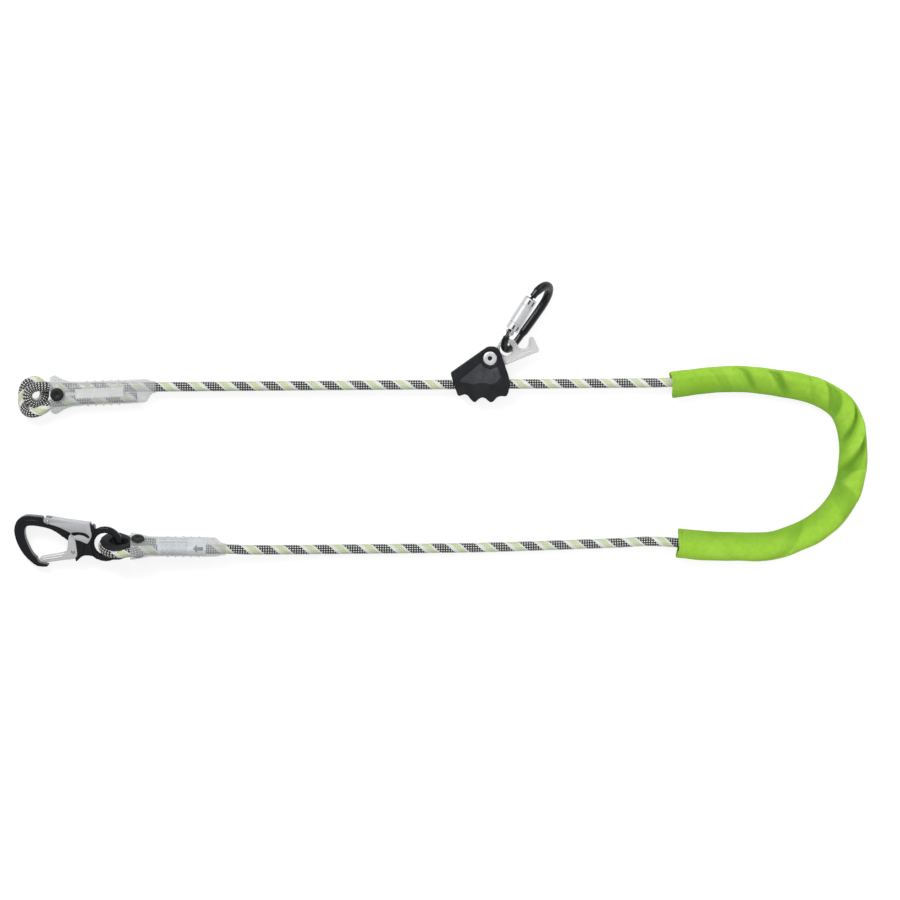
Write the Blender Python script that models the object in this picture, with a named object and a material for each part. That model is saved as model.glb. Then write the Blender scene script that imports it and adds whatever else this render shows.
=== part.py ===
"""Tree climbing lanyard: a sewn-eye rope with a snap hook, a cam adjuster and a carabiner.

Metres, +Z up. The lanyard lies on the plane z = 0 as it is laid out for a photograph: the two
straight runs along X, the sleeved bend at +X, both sewn eyes at -X. The origin is the middle of
the footprint of everything but the loose rope.
"""

import math

import bmesh
import bpy
from mathutils import Euler, Matrix, Vector

# Rope and the way it lies
ROPE_DIAMETER = 0.012
ROPE_SIDES = 8
FIT_GAP = 0.0003
RUNNING_GAP = 0.0004
CUT_OVERRUN = 0.002
WELD = 0.00002
STEEL_WALL = 0.0018

# Upper straight run, along which the adjuster slides
RUN_START = Vector((-0.3565, 0.0478, 0.0))
RUN_HEIGHT = 0.0135
RUN_YAW = math.radians(0.46)

# Sewn ends: legs side by side, a seam between them, a clear cover round both
LEG_PITCH = 0.0136
LEG_SPREAD = 0.0092
LEG_SETTLE_AT = 0.060
COVER_WALL = 0.0010
COVER_ROOM = 0.0016
COVER_MOUTH_HALF = 0.0252
COVER_MOUTH_AT = 0.0185
COVER_RIB_PITCH = 0.0097
COVER_RIB_HEIGHT = 0.0011
COVER_RIB_HALF_LENGTH = 0.0011
PLUG_AT = 0.0276
PLUG_HEAD_RADIUS = 0.0083
PLUG_HEAD_THICKNESS = 0.0016
PLUG_SHANK_SHARE = 0.85
PLUG_HOLE_RADIUS = 0.0029
LEG_PAST_PLUG = 0.030
LEG_TIP = 0.0030
LEG_TAPER_SHARE = 0.35
MOUTH_FRONT_SHARE = 0.88
MOUTH_BACK_SHARE = 0.85
MOUTH_WAIST_SHARE = 1.12
MOUTH_HEIGHT_SHARE = 1.25
NECK_TAPER = 0.0110
STEP_HALF_SHARE = 0.97
STEP_SHIFT_SHARE = 0.10
NECK_ROOT_SHARE = 1.12
COVER_RIBS = 5
COVER_SIDES = 14
SEAM_START = 0.050
SEAM_WIDTH = 0.0120
SEAM_WEB = 0.0008
SEAM_WEB_SHARE = 0.45
SEAM_END_BACK = 0.016
SEAM_PAD = 0.0007

UPPER_EYE_AT = Vector((-0.5065, 0.03675, RUN_HEIGHT))
UPPER_YAW = math.radians(2.5)
UPPER_COVER_LENGTH = 0.1500
UPPER_TAIL_BACK = 0.024
UPPER_JOIN_BACK = 0.038
UPPER_TAIL_END = UPPER_COVER_LENGTH - UPPER_TAIL_BACK
UPPER_ROPE_JOIN = UPPER_COVER_LENGTH - UPPER_JOIN_BACK

LOWER_EYE_AT = Vector((-0.4062, -0.1504, 0.0232))
LOWER_ROLL = math.radians(-55.0)
LOWER_PITCH = math.radians(4.0)
LOWER_YAW = math.radians(-0.6)
LOWER_COVER_LENGTH = 0.1370
LOWER_TAIL_BACK = 0.025
LOWER_JOIN_BACK = 0.037
LOWER_TAIL_END = LOWER_COVER_LENGTH - LOWER_TAIL_BACK
LOWER_ROPE_JOIN = LOWER_COVER_LENGTH - LOWER_JOIN_BACK
LABEL_START = 0.052
LABEL_END = LOWER_COVER_LENGTH - LOWER_TAIL_BACK
LABEL_THICKNESS = 0.0003
LABEL_FROM_ANGLE = 38.0
LABEL_STEPS = 12
COVER_BOX = 2.7

# Thimble of the lower eye
THIMBLE_HOLE_RADIUS = 0.0078
THIMBLE_NOSE_RADIUS = 0.0064
THIMBLE_NOSE_AT = 0.0100
THIMBLE_WALL = 0.0016
THIMBLE_FLANGE_RADIUS = 0.0193
THIMBLE_FLANGE_NOSE_RADIUS = 0.0125
THIMBLE_FLANGE = 0.0012
THIMBLE_SIDES = 20
EYE_LEAVES_AT = 90.0
EYE_STEPS = 18

# Rope protector: a flat-lying fabric tube
SLEEVE_WIDTH = 0.0356
SLEEVE_HEIGHT = 0.0250
SLEEVE_WALL = 0.0012
SLEEVE_FOLD = 0.0009
SLEEVE_FOLD_PITCH = 0.052
SLEEVE_FLAT_SHARE = 0.25
SLEEVE_STEP = 0.0230
SLEEVE_SIDES = 14
ROPE_STEP = 2.2
ROPE_RUN_STEPS = 6
RUN_STRAIGHT_END = 0.215

# Snap hook: outline shares are of the reach from the ring's centre to the inside of the nose
HOOK_REACH = 0.100
HOOK_RING_AT = Vector((-0.4189, -0.1476, 0.0218))
HOOK_ROLL = math.radians(12.0)
HOOK_PITCH = math.radians(-6.2)
HOOK_RING_OUTER = 0.0222
HOOK_RING_BAR = 0.0082
HOOK_HALF = 0.0052
HOOK_EDGE = 0.0016
HOOK_WEB_HALF = 0.0032
HOOK_GATE_HALF = 0.0050
HOOK_LEVER_HALF = 0.0072
HOOK_PIN_RADIUS = 0.0016
HOOK_LEVER_PIN_RADIUS = 0.0011
HOOK_GATE_COIL = 0.0026
HOOK_LEVER_COIL = 0.0018
HOOK_EYE_WALL = 0.0009
HOOK_RING_HALF = 0.0034
HOOK_LEVER_INNER = 0.0056
HOOK_RAIL = 0.0018
HOOK_POCKET = 0.0125
HOOK_POCKET_TOP = 0.0235
HOOK_FORK_SHARE = 0.12
HOOK_GATE_HEAD = 0.0004
COIL_POINTS = 8
COIL_SIDES = 6
SLEEVE_COIL_POINTS = 12
HOOK_PIN_HEAD_RADIUS = 0.0026
HOOK_PIN_HEAD = 0.0008

# Cam adjuster: outline shares are of the reach from the pivot to the finger edge of the grip
GRIP_REACH = 0.050
ADJUSTER_RUN_X = 0.0599
ADJUSTER_TILT = math.radians(3.0)
PIVOT_TO_ROPE = 0.0325
CHANNEL_HALF = ROPE_DIAMETER / 2 + RUNNING_GAP
GRIP_WALL = 0.0018
PANEL_DEPTH = 0.0006
PIVOT_SHAFT_RADIUS = 0.0040
PIVOT_HEAD_RADIUS = 0.0085
PIVOT_HEAD = 0.0019
PIVOT_RECESS_RADIUS = 0.0118
BUSH_WALL = 0.0013
CAM_ARM_HALF = 0.00275
CAM_REACH = 0.060
CAM_HOLE_RADIUS = 0.0079
CAM_ROPE_GAP = 0.0006
ANVIL_HALF_LENGTH = 0.0165
ANVIL_DEPTH = 0.0052
FRAME_RIVET_RADIUS = 0.0018
FRAME_RIVET_SPACING = 0.0110
SPRING_WIRE = 0.0007
SPRING_TURNS = 3
SPRING_PITCH = 0.00115
CAM_SPRING_TURNS = 2
CAM_HUB_RADIUS = 0.0108
CAM_NOSE_SHARE = 0.96
GRIP_BLOCK_SHARE = 0.985

# Carabiner: shares are of the reach from its base to the top bow
CARABINER_REACH = 0.100
CARABINER_AT = Vector((0.0810, 0.0881, 0.0053))
CARABINER_BAR_WIDTH = 0.0095
CARABINER_BAR_THICK = 0.0080
CARABINER_AXIS = Vector((0.588, 0.809, 0.0)).normalized()
CARABINER_LEAN = math.radians(65.0)
GATE_ROOT = (0.24, 0.31)
GATE_TOP = (0.70, 0.38)
GATE_RADIUS = 0.0044
GUIDE_WALL = 0.0009
SLEEVE_NUT_WALL = 0.0013
SLEEVE_NUT_START = 0.0040
SLEEVE_NUT_LENGTH = 0.0455
KEY_HEAD_RADIUS = 0.0030
KEY_HEAD = 0.0024
KEY_NECK_SHARE = 0.62
KEY_GAP = 0.0006
KEY_SLOT_DEPTH = 0.0066
TONGUE_HALF = 0.0019
TONGUE_HEIGHT_SHARE = 0.78
GUIDE_INSET = 0.0020
SLEEVE_TRAVEL = 0.0020
SLEEVE_SPRING_TURNS = 4
SLEEVE_SPRING_STRETCH = 4
SLEEVE_RING_SHARE = 0.20
GATE_PIN_RADIUS = 0.0013
GATE_PIN_HEAD_SHARE = 1.5


# Scene and shape helpers

for old in list(bpy.data.objects):
    bpy.data.objects.remove(old, do_unlink=True)

parts = bpy.data.collections.new("tree_climbing_lanyard")
cutters = bpy.data.collections.new("cutters")
for group in (parts, cutters):
    bpy.context.scene.collection.children.link(group)


def material(name, colour, roughness, metallic=0.0, alpha=1.0):
    """A Principled material with one colour."""
    made = bpy.data.materials.new(name)
    made.use_nodes = True
    shader = made.node_tree.nodes["Principled BSDF"]
    shader.inputs["Base Color"].default_value = (*colour, 1.0)
    shader.inputs["Roughness"].default_value = roughness
    shader.inputs["Metallic"].default_value = metallic
    shader.inputs["Alpha"].default_value = alpha
    return made


ROPE_MATERIAL = material("rope_polyamide", (0.80, 0.82, 0.74), 0.85)
BLACK_ALLOY = material("black_anodised_alloy", (0.012, 0.013, 0.015), 0.42, 0.6)
BARE_ALLOY = material("bare_alloy", (0.62, 0.62, 0.61), 0.38, 0.9)
CAST_ALLOY = material("cast_alloy", (0.70, 0.69, 0.66), 0.50, 0.9)
STEEL = material("steel", (0.50, 0.50, 0.49), 0.30, 1.0)
BLACK_PLASTIC = material("black_plastic", (0.015, 0.016, 0.018), 0.55)
CLEAR_COVER = material("clear_cover", (0.72, 0.73, 0.73), 0.30, 0.0, 0.45)
THREAD = material("thread", (0.86, 0.86, 0.84), 0.80)
LABEL_PAPER = material("label", (0.84, 0.85, 0.87), 0.60)
LIME_FABRIC = material("lime_fabric", (0.36, 0.70, 0.05), 0.80)


def empty(name, location, rotation=None, parent=None):
    """A guide that carries pieces; rotation is a Matrix or an Euler."""
    guide = bpy.data.objects.new(name, None)
    parts.objects.link(guide)
    guide.parent = parent
    guide.location = location
    if rotation is not None:
        guide.rotation_euler = rotation if isinstance(rotation, Euler) else rotation.to_euler()
    bpy.context.view_layer.update()
    return guide


def place(made, parent, finish):
    """Hand a made object to its carrier and give it its material."""
    made.parent = parent
    made.data.materials.clear()
    made.data.materials.append(finish)
    return made


def to_mesh(curve_object):
    """The welded mesh of a curve object, under the curve's name."""
    bpy.context.view_layer.update()
    name = curve_object.name
    depsgraph = bpy.context.evaluated_depsgraph_get()
    mesh = bpy.data.meshes.new_from_object(curve_object.evaluated_get(depsgraph))
    work = bmesh.new()
    work.from_mesh(mesh)
    bmesh.ops.remove_doubles(work, verts=work.verts, dist=WELD)
    bmesh.ops.recalc_face_normals(work, faces=work.faces)
    work.to_mesh(mesh)
    work.free()
    turned = curve_object.matrix_world.copy()
    curve = curve_object.data
    bpy.data.objects.remove(curve_object, do_unlink=True)
    bpy.data.curves.remove(curve)
    made = bpy.data.objects.new(name, mesh)
    parts.objects.link(made)
    made.matrix_world = turned
    return made


def scaled(shares, reach, shift=(0.0, 0.0)):
    """Outline points from a table of shares of one reach."""
    return [(x * reach + shift[0], y * reach + shift[1]) for x, y in shares]


def smooth(points, per_span, cyclic=True):
    """Points on a centripetal spline through the given points."""
    known = [Vector(p) for p in points]
    count = len(known)
    spans = count if cyclic else count - 1
    result = []
    for span in range(spans):
        if cyclic:
            p0, p1, p2, p3 = (known[(span + k) % count] for k in (-1, 0, 1, 2))
        else:
            p0, p1 = known[max(span - 1, 0)], known[span]
            p2, p3 = known[span + 1], known[min(span + 2, count - 1)]
        for step in range(per_span):
            t = step / per_span
            result.append(0.5 * (2 * p1 + (p2 - p0) * t
                                 + (2 * p0 - 5 * p1 + 4 * p2 - p3) * t ** 2
                                 + (3 * p1 - p0 - 3 * p2 + p3) * t ** 3))
    if not cyclic:
        result.append(known[-1])
    return result


def rounded(points, radius, steps=3):
    """A closed outline whose corners are arcs of the given radius, or smaller on short sides."""
    known = [Vector(p) for p in points]
    result = []
    for index, corner in enumerate(known):
        back = known[index - 1] - corner
        ahead = known[(index + 1) % len(known)] - corner
        half = back.angle(ahead) / 2
        reach = min(radius / math.tan(half), back.length * 0.45, ahead.length * 0.45)
        size = reach * math.tan(half)
        start = corner + back.normalized() * reach
        end = corner + ahead.normalized() * reach
        centre = corner + (back.normalized() + ahead.normalized()).normalized() * size / math.sin(half)
        for step in range(steps + 1):
            share = step / steps
            ray = (start - centre).lerp(end - centre, share)
            result.append(centre + ray.normalized() * size)
    return result


def circle(radius, sides, centre=(0.0, 0.0), start=0.0):
    """Points of a circle in the plane."""
    return [(centre[0] + radius * math.cos(start + math.tau * k / sides),
             centre[1] + radius * math.sin(start + math.tau * k / sides)) for k in range(sides)]


def hull_outline(radius_a, radius_b, apart, sides):
    """The outline of two circles a distance apart along X, joined by their tangents."""
    lean = math.asin((radius_a - radius_b) / apart)
    half = sides // 2
    left = [math.pi / 2 - lean + (math.pi + 2 * lean) * k / half for k in range(half + 1)]
    right = [-math.pi / 2 + lean + (math.pi - 2 * lean) * k / half for k in range(half + 1)]
    return ([(radius_a * math.cos(a), radius_a * math.sin(a)) for a in left]
            + [(apart + radius_b * math.cos(a), radius_b * math.sin(a)) for a in right])


def plate(name, outlines, low, high, parent, finish, edge=0.0):
    """A flat outline with its holes, extruded between two heights, its edges rounded by edge."""
    curve = bpy.data.curves.new(name, "CURVE")
    curve.dimensions = "2D"
    curve.fill_mode = "BOTH"
    curve.extrude = (high - low) / 2
    for outline in outlines:
        spline = curve.splines.new("POLY")
        spline.points.add(len(outline) - 1)
        for point, (x, y) in zip(spline.points, outline):
            point.co = (x, y, 0.0, 1.0)
        spline.use_cyclic_u = True
    made = bpy.data.objects.new(name, curve)
    parts.objects.link(made)
    made = to_mesh(made)
    made.data.transform(Matrix.Translation((0.0, 0.0, (high + low) / 2)))
    if edge:
        soften(made, edge)
    return place(made, parent, finish)


def soften(made, width):
    """Round a flat piece's rim and apply it."""
    work = bmesh.new()
    work.from_mesh(made.data)
    bmesh.ops.dissolve_limit(work, angle_limit=math.radians(1.0), verts=work.verts, edges=work.edges)
    rim = [edge for edge in work.edges
           if len(edge.link_faces) == 2 and any(abs(face.normal.z) > 0.5 for face in edge.link_faces)
           and any(abs(face.normal.z) < 0.5 for face in edge.link_faces)]
    bmesh.ops.bevel(work, geom=rim, offset=width, offset_type="OFFSET", affect="EDGES", segments=1,
                    profile=0.5, material=-1, clamp_overlap=True)
    bmesh.ops.triangulate(work, faces=work.faces)
    bmesh.ops.recalc_face_normals(work, faces=work.faces)
    work.to_mesh(made.data)
    work.free()


def tube(name, points, radius, parent, finish, sides=ROPE_SIDES):
    """A round bar along points, its ends closed flat."""
    curve = bpy.data.curves.new(name, "CURVE")
    curve.dimensions = "3D"
    curve.bevel_depth = radius
    curve.bevel_resolution = sides // 2 - 2
    curve.use_fill_caps = True
    spline = curve.splines.new("POLY")
    spline.points.add(len(points) - 1)
    for point, place_at in zip(spline.points, points):
        point.co = (*place_at, 1.0)
    made = bpy.data.objects.new(name, curve)
    parts.objects.link(made)
    return place(to_mesh(made), parent, finish)


def loft(name, rings, parent, finish, closed_ring=False):
    """A skin through rings of equal count; a closed ring of rings makes a tube with a bore."""
    work = bmesh.new()
    rows = [[work.verts.new(p) for p in ring] for ring in rings]
    count = len(rows[0])
    pairs = list(zip(rows, rows[1:]))
    if closed_ring:
        pairs.append((rows[-1], rows[0]))
    for first, second in pairs:
        for k in range(count):
            after = (k + 1) % count
            work.faces.new((first[k], first[after], second[after], second[k]))
    if not closed_ring:
        work.faces.new(list(reversed(rows[0])))
        work.faces.new(rows[-1])
    bmesh.ops.recalc_face_normals(work, faces=work.faces)
    mesh = bpy.data.meshes.new(name)
    work.to_mesh(mesh)
    work.free()
    made = bpy.data.objects.new(name, mesh)
    parts.objects.link(made)
    return place(made, parent, finish)


def turned(name, profile, parent, finish, sides=24):
    """A turned piece about its local Z: profile of (radius, height), closed on the axis or on itself."""
    steps = [profile_ring(radius, height, sides) for radius, height in profile]
    return loft(name, steps, parent, finish)


def profile_ring(radius, height, sides):
    """One ring of a turned piece."""
    return [(x, y, height) for x, y in circle(radius, sides)]


def as_cutter(made):
    """Move a made object to the cutters."""
    parts.objects.unlink(made)
    cutters.objects.link(made)
    made.hide_render = True
    made.display_type = "WIRE"
    return made


def tidy_mesh(mesh):
    """Close the pinholes that a cut can leave where two faces nearly meet."""
    work = bmesh.new()
    work.from_mesh(mesh)
    bmesh.ops.remove_doubles(work, verts=work.verts, dist=WELD / 10)
    bmesh.ops.triangulate(work, faces=work.faces)
    bmesh.ops.dissolve_degenerate(work, edges=work.edges, dist=WELD / 10)
    border = [edge for edge in work.edges if edge.is_boundary]
    bmesh.ops.holes_fill(work, edges=border, sides=4)
    work.to_mesh(mesh)
    work.free()


def combine(made, other, operation):
    """Cut or join with an exact Boolean, and apply it."""
    bpy.context.view_layer.update()
    modifier = made.modifiers.new(operation.lower(), "BOOLEAN")
    modifier.operation = operation
    modifier.solver = "EXACT"
    modifier.object = other
    bpy.context.view_layer.update()
    depsgraph = bpy.context.evaluated_depsgraph_get()
    mesh = bpy.data.meshes.new_from_object(made.evaluated_get(depsgraph))
    made.modifiers.remove(modifier)
    tidy_mesh(mesh)
    old_mesh = made.data
    made.data = mesh
    bpy.data.meshes.remove(old_mesh)
    if operation == "UNION":
        bpy.data.objects.remove(other, do_unlink=True)
    else:
        as_cutter(other)
    return made


def cut(made, other):
    return combine(made, other, "DIFFERENCE")


def join(made, other):
    return combine(made, other, "UNION")


def rod(name, radius, low, high, centre, parent, finish, sides=20):
    """A round bar along the carrier's Z."""
    return plate(name, [circle(radius, sides, centre)], low, high, parent, finish)


def headed_pin(name, radius, half, head_radius, head, centre, parent, finish):
    """A pin along Z with a thin round head on each end."""
    x, y = centre
    profile = [(head_radius * 0.8, half + head), (head_radius, half + head * 0.5), (head_radius, half),
               (radius, half), (radius, -half), (head_radius, -half),
               (head_radius, -half - head * 0.5), (head_radius * 0.8, -half - head)]
    made = turned(name, profile, parent, finish, 12)
    made.data.transform(Matrix.Translation((x, y, 0.0)))
    return made


# Sewn ends

LEG_SLOPE = math.tan(UPPER_YAW - RUN_YAW)
NECK_OFFSET = 0.0045


def main_leg_offset(u, cover_length):
    """How far the loaded leg lies from the cover's axis; it runs on in line with the rope."""
    return NECK_OFFSET + (cover_length - u) * LEG_SLOPE


def main_leg(cover_length, join_at, side, past_plug):
    """Points of the loaded leg from the cut inside the cover to the plug."""
    return [(u, side * main_leg_offset(u, cover_length), 0.0)
            for u in (join_at, LEG_SETTLE_AT, past_plug)]


def tail_leg(tail_end, side, past_plug):
    """Points of the short leg from the plug to its cut end."""
    settled = LEG_PITCH / 2 + RUNNING_GAP
    middle = (LEG_SETTLE_AT + past_plug) / 2
    return [(past_plug, -side * LEG_SPREAD, 0.0),
            (middle, -side * (settled + (LEG_SPREAD - settled) * LEG_TAPER_SHARE), 0.0),
            (LEG_SETTLE_AT, -side * settled, 0.0), (tail_end, -side * settled, 0.0)]


def cover_ring(u, width, height, boxiness, sides=COVER_SIDES):
    """One ring of a cover: a rounded box, pointed at the sides where boxiness is small."""
    ring = []
    for k in range(sides):
        angle = math.tau * (k + 0.5) / sides
        c, s = math.cos(angle), math.sin(angle)
        ring.append((u, math.copysign(width * abs(c) ** (2 / boxiness), c),
                     math.copysign(height * abs(s) ** (2 / boxiness), s)))
    return ring


def cover_half_height():
    """Half the room inside a cover across both legs, seam and label."""
    return ROPE_DIAMETER / 2 + SEAM_PAD + COVER_ROOM


def cover_half_width(length):
    """Half the room inside a cover beside its two legs, measured where the legs have settled."""
    return main_leg_offset(LEG_SETTLE_AT, length) + ROPE_DIAMETER / 2 + RUNNING_GAP


def cover_sections(length, side):
    """Sections of a cover's inner face: place, half width, half height, boxiness, side shift."""
    body_half = cover_half_width(length)
    body_height = cover_half_height()
    neck_half = ROPE_DIAMETER / 2 + RUNNING_GAP
    wing = COVER_MOUTH_HALF - COVER_WALL
    neck_shift = side * NECK_OFFSET
    step_at = length - NECK_TAPER
    return [
        (COVER_MOUTH_AT, wing * MOUTH_FRONT_SHARE, body_height * MOUTH_HEIGHT_SHARE, 2.6, 0.0),
        (PLUG_AT - LEG_TIP, wing, body_height * MOUTH_HEIGHT_SHARE, 1.7, 0.0),
        (PLUG_AT + LEG_TIP, wing * MOUTH_BACK_SHARE, body_height * MOUTH_HEIGHT_SHARE, 2.0, 0.0),
        (PLUG_AT + LEG_TIP * 4, body_half * MOUTH_WAIST_SHARE, body_height, 2.4, 0.0),
        (LEG_SETTLE_AT, body_half, body_height, COVER_BOX, 0.0),
        (step_at - NECK_TAPER, body_half, body_height, COVER_BOX, 0.0),
        (step_at, body_half * STEP_HALF_SHARE, body_height, 2.6, neck_shift * STEP_SHIFT_SHARE),
        (step_at + NECK_TAPER * 0.45, neck_half * NECK_ROOT_SHARE, neck_half * NECK_ROOT_SHARE, 2.1,
         neck_shift),
        (length, neck_half, neck_half, 2.0, neck_shift)]


def grow_rings(sections, wall):
    """Rings of a cover's skin, the sections grown by a wall, with raised ribs along the body."""
    rings = []
    for u, width, height, boxiness, shift in sections:
        rings.append([(x, y + shift, z) for x, y, z in
                      cover_ring(u, width + wall, height + wall, boxiness)])
        if wall and u == LEG_SETTLE_AT:
            for rib in range(COVER_RIBS):
                middle = u + COVER_RIB_PITCH * (rib + 0.5)
                for along, rise in ((-1, 0.0), (0, 1.0), (1, 0.0)):
                    at = middle + along * COVER_RIB_HALF_LENGTH
                    grown = wall + rise * COVER_RIB_HEIGHT
                    rings.append(cover_ring(at, width + grown, height + wall + rise * COVER_RIB_HEIGHT / 2,
                                            boxiness))
    return rings


def build_cover(name, length, side, parent):
    """The clear shell round a sewn end, open at its mouth and at its neck."""
    sections = cover_sections(length, side)
    outer = grow_rings(sections, COVER_WALL)
    inner = grow_rings(sections, 0.0)
    return loft(name, outer + list(reversed(inner)), parent, CLEAR_COVER, closed_ring=True)


def build_seam(name, end, side, parent):
    """The sewn seam: a pad of stitches over and under both legs, and the threads between them."""
    crown = ROPE_DIAMETER / 2 + FIT_GAP
    shift = -side * FIT_GAP / 2
    half = SEAM_WIDTH / 2
    made = plate(name, [rounded([(SEAM_START, -half), (end, -half), (end, half), (SEAM_START, half)],
                                SEAM_PAD)], crown, crown + SEAM_PAD, parent, THREAD)
    below = plate(name + "_below", [rounded([(SEAM_START, -half), (end, -half), (end, half),
                                             (SEAM_START, half)], SEAM_PAD)],
                  -crown - SEAM_PAD, -crown, parent, THREAD)
    web_end = SEAM_START + (end - SEAM_START) * SEAM_WEB_SHARE
    half_web = SEAM_WEB / 2
    overlap = SEAM_PAD / 2
    web = plate(name + "_web", [[(SEAM_START + SEAM_PAD, shift - half_web), (web_end, shift - half_web),
                                 (web_end, shift + half_web), (SEAM_START + SEAM_PAD, shift + half_web)]],
                -crown - overlap, crown + overlap, parent, THREAD)
    return join(join(made, web), below)


def build_plug(name, half_height, parent):
    """The black rivet through the cover between the legs: a head outside each wall."""
    face = half_height + FIT_GAP
    shank = (LEG_SPREAD - ROPE_DIAMETER / 2 - FIT_GAP) * PLUG_SHANK_SHARE
    profile = [(PLUG_HEAD_RADIUS * 0.75, face + PLUG_HEAD_THICKNESS),
               (PLUG_HEAD_RADIUS, face + PLUG_HEAD_THICKNESS * 0.5), (PLUG_HEAD_RADIUS, face),
               (shank, face), (shank, -face), (PLUG_HEAD_RADIUS, -face),
               (PLUG_HEAD_RADIUS, -face - PLUG_HEAD_THICKNESS * 0.5),
               (PLUG_HEAD_RADIUS * 0.75, -face - PLUG_HEAD_THICKNESS)]
    made = turned(name, profile, parent, BLACK_PLASTIC, 16)
    made.data.transform(Matrix.Translation((PLUG_AT, 0.0, 0.0)))
    return made


# Route of the upper eye in rope diameters about its hole: one and a half turns, each strand
# passing over or under its neighbour a diameter away
UPPER_EYE_SHARE = (
    (2.01, 0.78, 0.02), (1.56, 0.86, 0.16), (1.11, 0.93, 0.47), (0.63, 0.94, 0.60),
    (0.13, 0.89, 0.60), (-0.34, 0.73, 0.55), (-0.69, 0.40, 0.48), (-0.82, -0.06, 0.39),
    (-0.67, -0.49, 0.23), (-0.32, -0.75, 0.02), (0.13, -0.78, -0.18), (0.54, -0.57, -0.33),
    (0.81, -0.17, -0.43), (0.88, 0.32, -0.49), (0.77, 0.81, -0.51), (0.52, 1.23, -0.48),
    (0.13, 1.53, -0.45), (-0.34, 1.58, -0.46), (-0.76, 1.42, -0.47), (-1.09, 1.10, -0.50),
    (-1.28, 0.70, -0.51), (-1.36, 0.26, -0.51), (-1.39, -0.20, -0.50), (-1.41, -0.65, -0.44),
    (-1.33, -1.11, -0.32), (-1.10, -1.49, -0.11), (-0.72, -1.72, 0.11), (-0.25, -1.78, 0.27),
    (0.25, -1.68, 0.35), (0.71, -1.48, 0.36), (1.13, -1.21, 0.28), (1.55, -0.96, 0.18),
    (2.00, -0.79, 0.05))


def build_upper_eye(parent):
    """The tight eye of the free end, which has no thimble."""
    turns = [tuple(share * ROPE_DIAMETER for share in row) for row in UPPER_EYE_SHARE]
    route = (main_leg(UPPER_COVER_LENGTH, UPPER_ROPE_JOIN, 1, LEG_PAST_PLUG) + turns
             + tail_leg(UPPER_TAIL_END, 1, LEG_PAST_PLUG))
    clearance = least_gap(turns)
    print(f"upper eye: least gap between its strands {clearance * 1000:.2f} mm")
    return tube("rope_eye_upper", route, ROPE_DIAMETER / 2, parent, ROPE_MATERIAL)


def least_gap(points):
    """The least clear space between strands of one rope that lie a turn apart."""
    known = [Vector(p) for p in points]
    walk = [0.0]
    for first, second in zip(known, known[1:]):
        walk.append(walk[-1] + (second - first).length)
    apart = [((a - b).length) for i, a in enumerate(known) for j, b in enumerate(known)
             if walk[j] - walk[i] > ROPE_DIAMETER * 1.6]
    return min(apart) - ROPE_DIAMETER


# The lower eye's legs between the groove and the plug, in rope diameters
LOWER_SHOULDER_SHARE = ((0.50, 1.28), (1.00, 1.20), (1.50, 1.05), (2.00, 0.87))


def build_lower_eye(parent):
    """The eye that lies in the thimble's groove."""
    groove = THIMBLE_HOLE_RADIUS + THIMBLE_WALL + ROPE_DIAMETER / 2 + FIT_GAP
    first = math.radians(EYE_LEAVES_AT)
    bow = [(groove * math.cos(a), -groove * math.sin(a), 0.0)
           for a in (first + (math.tau - 2 * first) * k / EYE_STEPS for k in range(EYE_STEPS + 1))]
    away = [(u * ROPE_DIAMETER, v * ROPE_DIAMETER, 0.0) for u, v in LOWER_SHOULDER_SHARE]
    back = [(u, -v, w) for u, v, w in reversed(away)]
    route = (main_leg(LOWER_COVER_LENGTH, LOWER_ROPE_JOIN, -1, LEG_PAST_PLUG) + back + bow + away
             + tail_leg(LOWER_TAIL_END, -1, LEG_PAST_PLUG))
    return tube("rope_eye_lower", route, ROPE_DIAMETER / 2, parent, ROPE_MATERIAL)


def build_thimble(parent):
    """The flanged plastic thimble: a drop-shaped core and two flanges that keep the rope in."""
    hole = hull_outline(THIMBLE_HOLE_RADIUS, THIMBLE_NOSE_RADIUS, THIMBLE_NOSE_AT, THIMBLE_SIDES)
    core = hull_outline(THIMBLE_HOLE_RADIUS + THIMBLE_WALL, THIMBLE_NOSE_RADIUS + THIMBLE_WALL,
                        THIMBLE_NOSE_AT, THIMBLE_SIDES)
    rim = hull_outline(THIMBLE_FLANGE_RADIUS, THIMBLE_FLANGE_NOSE_RADIUS, THIMBLE_NOSE_AT,
                       THIMBLE_SIDES)
    inside = ROPE_DIAMETER / 2 + FIT_GAP
    outside = inside + THIMBLE_FLANGE
    made = plate("thimble", [rim, hole], inside, outside, parent, BLACK_PLASTIC)
    lower = plate("thimble_lower", [rim, hole], -outside, -inside, parent, BLACK_PLASTIC)
    tube_wall = plate("thimble_core", [core, hole], -inside - THIMBLE_FLANGE / 2,
                      inside + THIMBLE_FLANGE / 2, parent, BLACK_PLASTIC)
    return join(join(made, tube_wall), lower)


def build_label(parent):
    """A printed slip that lies against the cover's wall, over both legs."""
    half = cover_half_width(LOWER_COVER_LENGTH)
    height = cover_half_height()
    first = math.radians(LABEL_FROM_ANGLE)
    steps = [first + (math.pi - 2 * first) * k / LABEL_STEPS for k in range(LABEL_STEPS + 1)]
    outer_inset = FIT_GAP * 1.5
    inner_inset = outer_inset + LABEL_THICKNESS
    band = []
    for inset, order in ((outer_inset, steps), (inner_inset, list(reversed(steps)))):
        for angle in order:
            c, s = math.cos(angle), math.sin(angle)
            band.append((math.copysign((half - inset) * abs(c) ** (2 / COVER_BOX), c),
                         (height - inset) * s ** (2 / COVER_BOX)))
    rings = [[(u, y, z) for y, z in band] for u in (LABEL_START, LABEL_END)]
    return loft("label", rings, parent, LABEL_PAPER)


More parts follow.
